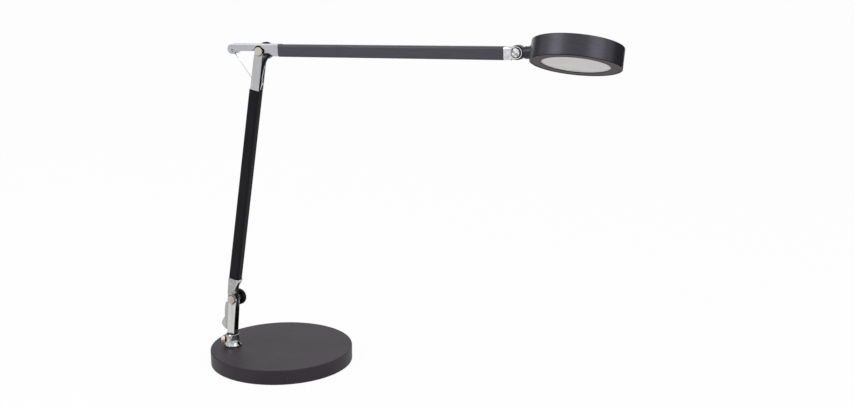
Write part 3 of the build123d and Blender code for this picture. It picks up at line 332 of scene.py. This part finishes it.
def head_black(name, dark, pale):
    """Brushed on the side and top, with a dull black rim below."""
    s = Shader(name)
    lines = s.noise(**BRUSHED, stretch=RING_GRAIN, turn=HEAD_TURN)
    drift = s.noise(**SLOW_DRIFT)
    rim = s.below(s.side_of(HEAD_UP), HOUSING_LOW + RIM_START, HOUSING_LOW + RIM_STOP)
    body = s.colours(lines, dark, pale, start=0.3, stop=0.75)
    return s.set(
        Base_Color=s.mixed(rim, body, RIM_BLACK),
        Metallic=s.spread(rim, 0.6, 0.0, start=0.0, stop=1.0),
        Specular_IOR_Level=s.spread(rim, 0.5, 0.05, start=0.0, stop=1.0),
        Roughness=s.spread(drift, 0.29, 0.38),
        Normal=s.bump(lines, strength=0.12, distance=0.00006),
    )


def polished_chrome(name, tint, rough, dull, scale):
    s = Shader(name)
    smear = s.noise(scale, detail=4.0, roughness=0.6)
    ripple = s.noise(**RIPPLE)
    return s.set(
        Base_Color=s.colours(smear, shaded(tint, dull), tint, start=0.4, stop=0.6),
        Metallic=1.0,
        Roughness=s.around(smear, rough, less=0.04, more=0.06),
        Normal=s.bump(ripple, strength=0.05, distance=0.0002),
    )


def dimpled_chrome(name, dark, bright):
    s = Shader(name)
    dents = s.noise(scale=330.0, detail=2.0)
    return s.set(
        Base_Color=s.colours(dents, dark, bright, start=0.4, stop=0.56),
        Metallic=1.0,
        Roughness=s.spread(dents, 0.24, 0.12),
        Normal=s.bump(dents, strength=0.35, distance=0.0006),
    )


def post_chrome(name, bright, dull, rough):
    """Bright in front, darker on the rear fin as painted shade, with a painted shade line between
    the two.
    """
    s = Shader(name)
    streaks = s.noise(scale=90.0, detail=4.0, roughness=0.6, stretch=POST_GRAIN)
    ripple = s.noise(**RIPPLE)
    # Painted shade: the rear fin takes the dull colour, and a line darker still is painted where
    # the fin is set back behind the post
    place = s.side_of(FIN_WAY)
    fin = s.below(place, FIN_PLACE - FIN_EDGE, FIN_PLACE + FIN_EDGE)
    past_shade_line = s.below(place, FIN_PLACE - SHADE_LINE_START, FIN_PLACE - SHADE_LINE_STOP)
    front = s.colours(streaks, shaded(bright, 0.72), bright, start=0.35, stop=0.6)
    rear = s.colours(streaks, shaded(dull, 0.55), dull, start=0.35, stop=0.6)
    shaded_rear_and_line = s.mixed(past_shade_line, shaded(dull, 0.45), rear)
    return s.set(
        Base_Color=s.mixed(fin, front, shaded_rear_and_line),
        Metallic=1.0,
        Roughness=s.around(streaks, rough, less=0.05, more=0.08),
        Normal=s.bump(ripple, strength=0.06, distance=0.0002),
    )


def satin_metal(name, tint, rough, stretch, turn, painted_darks=()):
    s = Shader(name)
    lines = s.noise(scale=380.0, detail=5.0, roughness=0.65, stretch=stretch, turn=turn)
    grain = s.noise(scale=1600.0, detail=2.0)
    drift = s.noise(scale=25.0, detail=3.0)
    fine = s.bump(grain, strength=0.15, distance=0.00005)
    colour = s.colours(drift, shaded(tint, 0.93), tint)
    # Painted shade and painted dark reflection: each band is turned black
    for centre, way, low, high in painted_darks:
        value = s.reach(centre) if way is None else s.side_of(way)
        colour = s.mixed(s.band(value, low, high), colour, PAINTED_DARK)
    return s.set(
        Base_Color=colour,
        Metallic=1.0,
        Roughness=s.around(lines, rough, less=0.06, more=0.08),
        Normal=s.bump(lines, strength=0.18, distance=0.00006, under=fine),
    )


def moulded(name, dark, pale, rough, grain=900.0, strength=0.2, specular=0.5):
    s = Shader(name)
    texture = s.noise(grain, detail=3.0, roughness=0.6)
    drift = s.noise(scale=40.0, detail=2.0)
    return s.set(
        Base_Color=s.colours(drift, dark, pale),
        Roughness=s.around(texture, rough, less=0.06, more=0.06),
        Specular_IOR_Level=specular,
        Normal=s.bump(texture, strength, distance=0.0001),
    )


def frosted_white(name, dark, pale):
    s = Shader(name)
    cloud = s.noise(scale=30.0, detail=3.0)
    grain = s.noise(scale=1800.0, detail=2.0)
    return s.set(
        Base_Color=s.colours(cloud, dark, pale),
        Roughness=s.spread(grain, 0.38, 0.5),
        Specular_IOR_Level=0.35,
        Subsurface_Weight=0.15,
        Subsurface_Scale=0.002,
        Normal=s.bump(grain, strength=0.12, distance=0.00005),
    )


def granular_ring(name, dark, pale):
    s = Shader(name)
    grain = s.noise(scale=560.0, detail=3.0, roughness=0.7)
    coarse = s.noise(scale=300.0, detail=2.0, roughness=0.6)
    rough = s.bump(coarse, strength=0.3, distance=0.0002)
    return s.set(
        Base_Color=s.colours(grain, dark, pale),
        Roughness=s.spread(grain, 0.5, 0.7),
        Specular_IOR_Level=0.3,
        Specular_Tint=MAUVE,
        Normal=s.bump(grain, strength=0.5, distance=0.0002, under=rough),
    )


# Painted shade and painted reflection on the satin pieces, as black bands: dark discs round the
# joints and a dark ring round the lever pin, as painted shade in their gaps, and the lever's end as
# a painted dark reflection. Each: a joint's centre or a direction, and from where to where.
# FROM_CENTRE is less than any distance and BEYOND_TIP lies past the lever, so that no edge of a
# band shows there. The elbow bracket is painted dark as shade in its channel, but for its two
# outer sides.
FROM_CENTRE = -0.01
BEYOND_TIP = 0.01
SIDE_DEPTH = 0.0004
RING_REACH = 0.0071
UPPER_RING_REACH = 0.0084
PIN_REACH = 0.0013
PIN_RING_REACH = 0.0021
TIP_REACH = 0.0548
bracket = frame["nodes"]["elbow_bracket"]
BRACKET_SIDE = max((bracket.matrix_world @ vertex.co).y for vertex in bracket.data.vertices)
BRACKET_INSIDE = BRACKET_SIDE - SIDE_DEPTH
LEVER_PIN = upper.at(-47.4, 1.0)
LEVER_TIP = ELBOW_PIVOT.dot(UPPER_WAY) - TIP_REACH
# Painted shade: a dark disc round the lower joint, which shows as a ring round its cap
LOWER_PAINTED_SHADE = ((LOWER_PIVOT, None, FROM_CENTRE, RING_REACH),)
ELBOW_PAINTED_SHADE = (
    # Painted shade: a dark disc round the elbow joint, which shows as a ring round its cap
    (ELBOW_PIVOT, None, FROM_CENTRE, RING_REACH),
    # Painted shade: the bracket's channel, all but its two outer sides
    (None, (0, 1, 0), -BRACKET_INSIDE, BRACKET_INSIDE),
)
UPPER_PAINTED_SHADE_AND_REFLECTION = (
    # Painted shade: a wider dark disc round the elbow joint on the casting
    (ELBOW_PIVOT, None, FROM_CENTRE, UPPER_RING_REACH),
    # Painted shade: a dark ring round the lever pin
    (LEVER_PIN, None, PIN_REACH, PIN_RING_REACH),
    # Painted dark reflection: the lever's rounded end
    (None, UPPER_WAY, LEVER_TIP - BEYOND_TIP, LEVER_TIP),
)

FINISHES = {
    "base_paint": (powder_black, dict(
        dark=(0.0205, 0.0185, 0.0218), pale=(0.0275, 0.0252, 0.029), rough=0.5, specular=0.27,
        sheen=PLUM,
    )),
    "lower_paint": (powder_black, dict(
        dark=(0.0075, 0.0066, 0.0088), pale=(0.0105, 0.0092, 0.012), rough=0.45, specular=0.1,
    )),
    "upper_paint": (brushed_black, dict(
        dark=(0.042, 0.0405, 0.052), pale=(0.066, 0.064, 0.081), rough=0.42, metal=0.0,
        specular=0.35, stretch=LONG_GRAIN, turn=along_upper,
    )),
    "head_paint": (head_black, dict(dark=(0.034, 0.032, 0.041), pale=(0.060, 0.057, 0.071))),
    "neck_paint": (brushed_black, dict(
        dark=(0.024, 0.0235, 0.029), pale=(0.042, 0.041, 0.050), rough=0.33, metal=0.6,
        specular=0.4, stretch=RING_GRAIN, turn=HEAD_TURN,
    )),
    "dark_metal": (powder_black, dict(
        dark=grey(0.005), pale=grey(0.009), rough=0.3, specular=0.25, grain=700.0, depth=0.00005,
        strength=0.1,
    )),
    "chrome": (polished_chrome, dict(tint=(0.86, 0.87, 0.88), rough=0.09, dull=0.94, scale=60.0)),
    # The dull colour is the rear fin's painted shade
    "post_chrome": (post_chrome, dict(
        bright=(0.70, 0.70, 0.695), dull=(0.46, 0.46, 0.455), rough=0.14,
    )),
    "foot_chrome": (polished_chrome, dict(
        tint=(0.58, 0.58, 0.585), rough=0.07, dull=0.5, scale=200.0,
    )),
    "fork_chrome": (polished_chrome, dict(
        tint=(0.72, 0.725, 0.735), rough=0.12, dull=0.72, scale=260.0,
    )),
    "cap_chrome": (dimpled_chrome, dict(dark=(0.30, 0.30, 0.305), bright=grey(0.78))),
    "lower_satin": (satin_metal, dict(
        tint=(0.38, 0.38, 0.385), rough=0.30, stretch=LONG_GRAIN, turn=along_lower,
        painted_darks=LOWER_PAINTED_SHADE,
    )),
    "elbow_satin": (satin_metal, dict(
        tint=(0.48, 0.485, 0.50), rough=0.32, stretch=LONG_GRAIN, turn=along_lower,
        painted_darks=ELBOW_PAINTED_SHADE,
    )),
    "upper_satin": (satin_metal, dict(
        tint=(0.48, 0.485, 0.505), rough=0.34, stretch=LONG_GRAIN, turn=along_upper,
        painted_darks=UPPER_PAINTED_SHADE_AND_REFLECTION,
    )),
    "steel": (satin_metal, dict(
        tint=(0.56, 0.56, 0.57), rough=0.3, stretch=EVEN, turn=along_lower,
    )),
    "brass": (satin_metal, dict(
        tint=(0.82, 0.71, 0.64), rough=0.3, stretch=EVEN, turn=along_lower,
    )),
    "cream": (moulded, dict(
        dark=(0.40, 0.375, 0.31), pale=(0.56, 0.535, 0.46), rough=0.25, grain=600.0, strength=0.1,
    )),
    "black_plastic": (moulded, dict(dark=grey(0.003), pale=grey(0.006), rough=0.42, specular=0.14)),
    "rubber": (moulded, dict(
        dark=grey(0.010), pale=grey(0.018), rough=0.7, grain=1400.0, strength=0.35, specular=0.3,
    )),
    "lead": (moulded, dict(
        dark=grey(0.004), pale=grey(0.007), rough=0.3, grain=500.0, strength=0.05, specular=0.2,
    )),
    "diffuser": (frosted_white, dict(dark=(0.63, 0.62, 0.61), pale=(0.69, 0.685, 0.68))),
    "ring": (granular_ring, dict(dark=(0.012, 0.0095, 0.0105), pale=(0.088, 0.072, 0.078))),
    "iron": (moulded, dict(
        dark=grey(0.10), pale=grey(0.16), rough=0.75, grain=500.0, strength=0.6,
    )),
    "bare": (satin_metal, dict(
        tint=(0.70, 0.70, 0.71), rough=0.4, stretch=EVEN, turn=along_lower,
    )),
    "chips": (moulded, dict(dark=(0.75, 0.66, 0.22), pale=(0.82, 0.74, 0.3), rough=0.3)),
    "board": (moulded, dict(dark=grey(0.62), pale=grey(0.7), rough=0.45)),
    # Near white: a painted highlight on the lower bracket's slanted edge
    "lip": (moulded, dict(
        dark=(0.92, 0.92, 0.91), pale=(0.97, 0.97, 0.965), rough=0.2, grain=260.0, specular=0.8,
    )),
    # A bright wire laid along the elbow lead: a painted highlight
    "bright_wire": (satin_metal, dict(tint=grey(0.95), rough=0.2, stretch=EVEN, turn=along_lower)),
    "wire": (satin_metal, dict(tint=grey(0.66), rough=0.3, stretch=LONG_GRAIN, turn=along_upper)),
}
materials = {name: build(name, **values) for name, (build, values) in FINISHES.items()}

NODE_FINISH = {
    "base_paint": ["base_cover"],
    "lower_paint": ["lower_tube"],
    "upper_paint": ["upper_tube"],
    "head_paint": ["head_housing"],
    "neck_paint": ["neck"],
    "dark_metal": ["knuckle"],
    "chrome": ["joint_hubs"],
    "post_chrome": ["post"],
    "foot_chrome": ["foot"],
    "fork_chrome": ["head_fork"],
    "cap_chrome": ["hinge_caps"],
    "lower_satin": ["lower_bracket"],
    "elbow_satin": ["elbow_bracket"],
    "upper_satin": ["elbow_casting"],
    "steel": [
        "base_screws", "foot_nut", "swivel_pin", "swivel_clip", "anchor_pin", "joint_axles",
        "wire_pins", "lower_spring", "upper_spring", "lever_pin", "head_hinge_pin", "neck_nut",
        "roll_clip", "head_screws",
    ],
    "brass": ["thumb_screw"],
    "cream": ["joint_caps"],
    "black_plastic": [
        "swivel_bush", "thumb_washer", "cable_guide", "lower_knob", "elbow_knob", "hinge_rings",
        "spring_anchor", "switch_module", "terminal_block", "push_button",
    ],
    "rubber": ["base_pad", "foot_gasket", "base_gland"],
    "lead": [
        "base_lead", "post_lead", "lower_joint_lead", "arm_lead", "elbow_lead", "upper_lead",
        "head_joint_lead", "head_lead",
    ],
    "diffuser": ["diffuser"],
    "ring": ["bezel"],
    "iron": ["base_weight"],
    "bare": ["heat_sink"],
    "board": ["led_board"],
    "chips": ["led_chips"],
    "wire": ["spring_wires", "lower_wire", "elbow_wire"],
}


def dress_nodes():
    for finish, names in NODE_FINISH.items():
        for name in names:
            for slot in frame["nodes"][name].material_slots:
                slot.material = materials[finish]


# Meshes
TUBE_STEPS = 12
TUBE_ORDER = 3


def mesh_of(name, shape):
    mesh = bpy.data.meshes.new(name)
    shape.to_mesh(mesh)
    shape.free()
    return mesh


def tube_mesh(name, points, radius, roundness):
    """A round tube on a smooth curve from the first point to the last."""
    curve = bpy.data.curves.new(name + "_route", "CURVE")
    curve.dimensions = "3D"
    curve.bevel_depth = radius * MM
    curve.bevel_resolution = roundness
    curve.resolution_u = TUBE_STEPS
    spline = curve.splines.new("NURBS")
    spline.points.add(len(points) - 1)
    for point, place in zip(spline.points, points):
        point.co = (*place, 1)
    spline.order_u = TUBE_ORDER
    spline.use_endpoint_u = True
    holder = bpy.data.objects.new(name + "_holder", curve)
    mesh = bpy.data.meshes.new_from_object(holder)
    bpy.data.objects.remove(holder)
    for face in mesh.polygons:
        face.use_smooth = True
    mesh.materials.clear()
    mesh.name = name
    return mesh


def link(name, mesh, finish):
    piece = bpy.data.objects.new(name, mesh)
    mesh.materials.append(materials[finish])
    bpy.context.collection.objects.link(piece)
    return piece


def route(arm, places):
    return [arm.at(*place) for place in places]


def in_plane(x, z):
    """A place in the arms' plane, given in millimetres."""
    return Vector((x * MM, LOWER_PIVOT.y, z * MM))


# Leads that bend over the joints, in millimetres. Routes: along the arm, and to its upper side.
LEAD_RADIUS = 1.9
LEAD_ROUNDNESS = 5
ELBOW_LEAD_BEFORE = ((355.0, -4.75), (360.7, -5.05), (368.2, -5.45))
ELBOW_LEAD_AFTER = ((3.5, -17.5), (12.0, -5.9), (22.0, -4.9), (27.8, -4.15), (34.6, -4.15))
POST_LEAD_END = (-56.9, 84.2)
POST_LEAD_BEND = (-55.3, 88.9)
LOWER_LEAD_AFTER = ((0.0, -5.0), (14.0, -5.0), (28.0, -3.55), (35.0, -3.55))
HEAD_LEAD_BEFORE = ((-18.0, -6.55), (-14.0, -6.55), (-5.0, -6.55), (3.0, -6.55))
HEAD_LEAD_AFTER = ((9.6, 0.0), (14.0, 0.0), (17.8, 0.0))


def lead_piece(name, points):
    return link(name, tube_mesh(name, points, LEAD_RADIUS, LEAD_ROUNDNESS), "lead")


def make_leads():
    elbow_lead = lead_piece(
        "elbow_lead_bend", route(lower, ELBOW_LEAD_BEFORE) + route(upper, ELBOW_LEAD_AFTER)
    )
    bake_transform(elbow_lead)
    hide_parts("elbow_lead")
    post_end = in_plane(*POST_LEAD_END)
    post_bend = in_plane(*POST_LEAD_BEND)
    post_start = post_end - (post_bend - post_end)
    lower_lead = lead_piece(
        "lower_lead_bend", [post_start, post_end, post_bend] + route(lower, LOWER_LEAD_AFTER)
    )
    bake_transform(lower_lead)
    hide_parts("lower_joint_lead")
    head_lead = lead_piece(
        "head_lead_bend", route(wrist, HEAD_LEAD_BEFORE) + route(neck, HEAD_LEAD_AFTER)
    )
    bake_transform(head_lead)
    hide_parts("head_joint_lead")


# Balance wires between the arms' joints, in millimetres
WIRE_RADIUS = 0.5
WIRE_SIDES = 12
LOWER_WIRE_LOW = (-81.0, 59.45)
LOWER_WIRE_HIGH = (24.0, 3.6)
ELBOW_WIRE_LOW = (341.0, 3.6)
ELBOW_WIRE_HIGH = (-47.4, 1.0, 4.4)


def wire_piece(name, start, stop):
    way = (stop - start).normalized()
    side = way.orthogonal().normalized()
    other = way.cross(side)
    shape = bmesh.new()
    rings = []
    for end in (start, stop):
        ring = []
        for number in range(WIRE_SIDES):
            turn = 2 * math.pi * number / WIRE_SIDES
            outward = side * math.cos(turn) + other * math.sin(turn)
            ring.append(shape.verts.new(end + outward * WIRE_RADIUS * MM))
        rings.append(ring)
    first, second = rings
    for number in range(WIRE_SIDES):
        after = (number + 1) % WIRE_SIDES
        shape.faces.new((first[number], first[after], second[after], second[number])).smooth = True
    shape.faces.new(list(reversed(first)))
    shape.faces.new(second)
    return link(name, mesh_of(name, shape), "wire")


def make_wires():
    low_end = in_plane(*LOWER_WIRE_LOW)
    lower_wire = wire_piece("lower_wire_span", low_end, lower.at(*LOWER_WIRE_HIGH))
    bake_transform(lower_wire)
    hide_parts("lower_wire")
    bend = lower.at(*ELBOW_WIRE_LOW)
    lever = upper.at(*ELBOW_WIRE_HIGH)
    elbow_wire = wire_piece("elbow_wire_span", bend, lever)
    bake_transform(elbow_wire)
    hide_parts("elbow_wire")


# Thin bent lip along the lower bracket's slanted front edge, coloured near white as a painted
# highlight. Rows in millimetres: along the arm, to its upper side, and the two ends to the near
# side.
LIP = (
    (33.2, -7.05, 7.05, -7.05),
    (29.8, -6.2, 7.05, -7.05),
    (28.6, -5.75, 7.05, 2.3),
    (20.0, -2.55, 7.05, 2.4),
    (11.5, 0.95, 7.05, 2.6),
)
LIP_THICKNESS = 0.25
LIP_EDGE = 0.08
EDGE_STEPS = 2


def make_highlight_lip():
    shape = bmesh.new()
    rows = []
    for along, up, *ends in LIP:
        rows.append([shape.verts.new(lower.at(along, up, near)) for near in ends])
    for first, second in zip(rows, rows[1:]):
        shape.faces.new((first[0], first[1], second[1], second[0]))
    shape.normal_update()
    lip = link("bracket_highlight_lip", mesh_of("bracket_highlight_lip", shape), "lip")
    thick = lip.modifiers.new("thick", "SOLIDIFY")
    thick.thickness = LIP_THICKNESS * MM
    thick.offset = 0
    rounded = lip.modifiers.new("rounded", "BEVEL")
    rounded.width = LIP_EDGE * MM
    rounded.segments = EDGE_STEPS
    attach(lip, "lower_arm")


# Thin bright wire and its clip in the elbow bracket's channel, in millimetres, laid along the lead
# as a painted highlight on it. Places: along the lower arm, to its upper side, to the near side.
CHANNEL_WIRE = (
    (371.0, -7.5, -1.2),
    (362.0, -7.6, 0.2),
    (354.0, -7.5, 2.0),
    (343.5, -7.5, 0.2),
    (335.0, -7.4, 2.6),
)
CHANNEL_WIRE_RADIUS = 0.35
CHANNEL_WIRE_ROUNDNESS = 3
CLIP_PLACE = (343.5, -7.7, 0.2)
CLIP_RADIUS = 1.0
CLIP_LENGTH = 2.4
CLIP_EDGE = 0.25
CLIP_SIDES = 20


def make_channel_wire():
    places = route(lower, CHANNEL_WIRE)
    mesh = tube_mesh("channel_wire", places, CHANNEL_WIRE_RADIUS, CHANNEL_WIRE_ROUNDNESS)
    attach(link("channel_wire", mesh, "bright_wire"), "lower_arm")
    shape = bmesh.new()
    radius = CLIP_RADIUS * MM
    bmesh.ops.create_cone(
        shape, cap_ends=True, segments=CLIP_SIDES, radius1=radius, radius2=radius,
        depth=CLIP_LENGTH * MM,
    )
    bmesh.ops.bevel(
        shape, geom=shape.edges[:], offset=CLIP_EDGE * MM, segments=EDGE_STEPS, affect="EDGES"
    )
    turn = along_lower.to_4x4() @ Matrix.Rotation(math.pi / 2, 4, "Y")
    place = Matrix.Translation(lower.at(*CLIP_PLACE))
    bmesh.ops.transform(shape, matrix=place @ turn, verts=shape.verts)
    mesh = mesh_of("channel_clip", shape)
    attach(link("channel_clip", mesh, "bright_wire"), "lower_arm")


# Floor and world: soft light from all sides, and a white or nearly white background where the
# camera, a reflection or a view through glass meets them
FLOOR_SIZE = 80.0
FLOOR_GREY = 0.95
FLOOR_GLOW_SHARE = 0.96
WORLD_STRENGTH = 0.56


def cleared(holder, output):
    """The emptied node tree of a material or world, and its output's surface socket."""
    holder.use_nodes = True
    tree = holder.node_tree
    tree.nodes.clear()
    return tree, tree.nodes.new(output).inputs["Surface"]


def seen_rays(tree):
    """One for a camera, glossy or transmission ray, else zero."""
    path = tree.nodes.new("ShaderNodeLightPath")
    seen = path.outputs["Is Camera Ray"]
    for kind in ("Is Glossy Ray", "Is Transmission Ray"):
        both = tree.nodes.new("ShaderNodeMath")
        both.operation = "ADD"
        both.use_clamp = True
        tree.links.new(seen, both.inputs[0])
        tree.links.new(path.outputs[kind], both.inputs[1])
        seen = both.outputs[0]
    return seen


def mix_surfaces(tree, share, first, second, surface):
    mix = tree.nodes.new("ShaderNodeMixShader")
    for number, output in enumerate((share, first.outputs[0], second.outputs[0])):
        tree.links.new(output, mix.inputs[number])
    tree.links.new(mix.outputs[0], surface)


def cloth(tree, value):
    diffuse = tree.nodes.new("ShaderNodeBsdfDiffuse")
    diffuse.inputs["Color"].default_value = (*grey(value), 1)
    return diffuse


def make_floor():
    bpy.ops.mesh.primitive_plane_add(size=FLOOR_SIZE)
    floor = bpy.context.object
    floor.name = "floor"
    material = bpy.data.materials.new("floor")
    tree, surface = cleared(material, "ShaderNodeOutputMaterial")
    diffuse = cloth(tree, FLOOR_GREY)
    glow = tree.nodes.new("ShaderNodeEmission")
    share = tree.nodes.new("ShaderNodeMath")
    share.operation = "MULTIPLY"
    share.inputs[1].default_value = FLOOR_GLOW_SHARE
    tree.links.new(seen_rays(tree), share.inputs[0])
    mix_surfaces(tree, share.outputs[0], diffuse, glow, surface)
    floor.data.materials.append(material)


def make_world():
    world = bpy.data.worlds.new("world")
    bpy.context.scene.world = world
    tree, surface = cleared(world, "ShaderNodeOutputWorld")
    soft = tree.nodes.new("ShaderNodeBackground")
    soft.inputs["Color"].default_value = WHITE
    soft.inputs["Strength"].default_value = WORLD_STRENGTH
    seen = tree.nodes.new("ShaderNodeBackground")
    seen.inputs["Color"].default_value = WHITE
    mix_surfaces(tree, seen_rays(tree), soft, seen, surface)


# Soft lamps: place, width and power in watts
OBJECT_MIDDLE = Vector((0.1, 0.0, 0.25))
LAMPS = (
    ("key_lamp", (-1.0, -1.6, 2.2), 1.6, 26.0),
    ("fill_lamp", (2.2, -0.6, 1.2), 1.2, 8.0),
)


def aimed(place, axis):
    """The turn that points an axis from a place to the object's middle."""
    return (OBJECT_MIDDLE - Vector(place)).to_track_quat(axis, "Y").to_euler()


def make_lamps():
    for name, place, width, power in LAMPS:
        data = bpy.data.lights.new(name, "AREA")
        data.shape = "RECTANGLE"
        data.size = width
        data.size_y = width
        data.energy = power
        lamp = bpy.data.objects.new(name, data)
        bpy.context.collection.objects.link(lamp)
        lamp.location = place
        lamp.rotation_euler = aimed(place, "-Z")


# Dark cards beside the object, seen only in its metal: place, width and height
CARDS = (
    ("right_card", (1.35, 1.45, 0.2), (2.1, 1.5)),
    ("left_card", (-1.6, 0.3, 0.3), (1.2, 1.4)),
)
CARD_GREY = 0.015


def make_cards():
    material = bpy.data.materials.new("card")
    tree, surface = cleared(material, "ShaderNodeOutputMaterial")
    tree.links.new(cloth(tree, CARD_GREY).outputs[0], surface)
    for name, place, size in CARDS:
        bpy.ops.mesh.primitive_plane_add(size=1)
        card = bpy.context.object
        card.name = name
        card.location = place
        card.scale = (*size, 1)
        card.rotation_euler = aimed(place, "Z")
        card.visible_camera = False
        card.visible_diffuse = False
        card.visible_shadow = False
        card.data.materials.append(material)


bpy.context.scene.view_settings.view_transform = "Standard"
make_camera()
make_floor()
make_world()
make_cards()
make_lamps()
dress_nodes()
make_leads()
make_wires()
make_highlight_lip()
make_channel_wire()
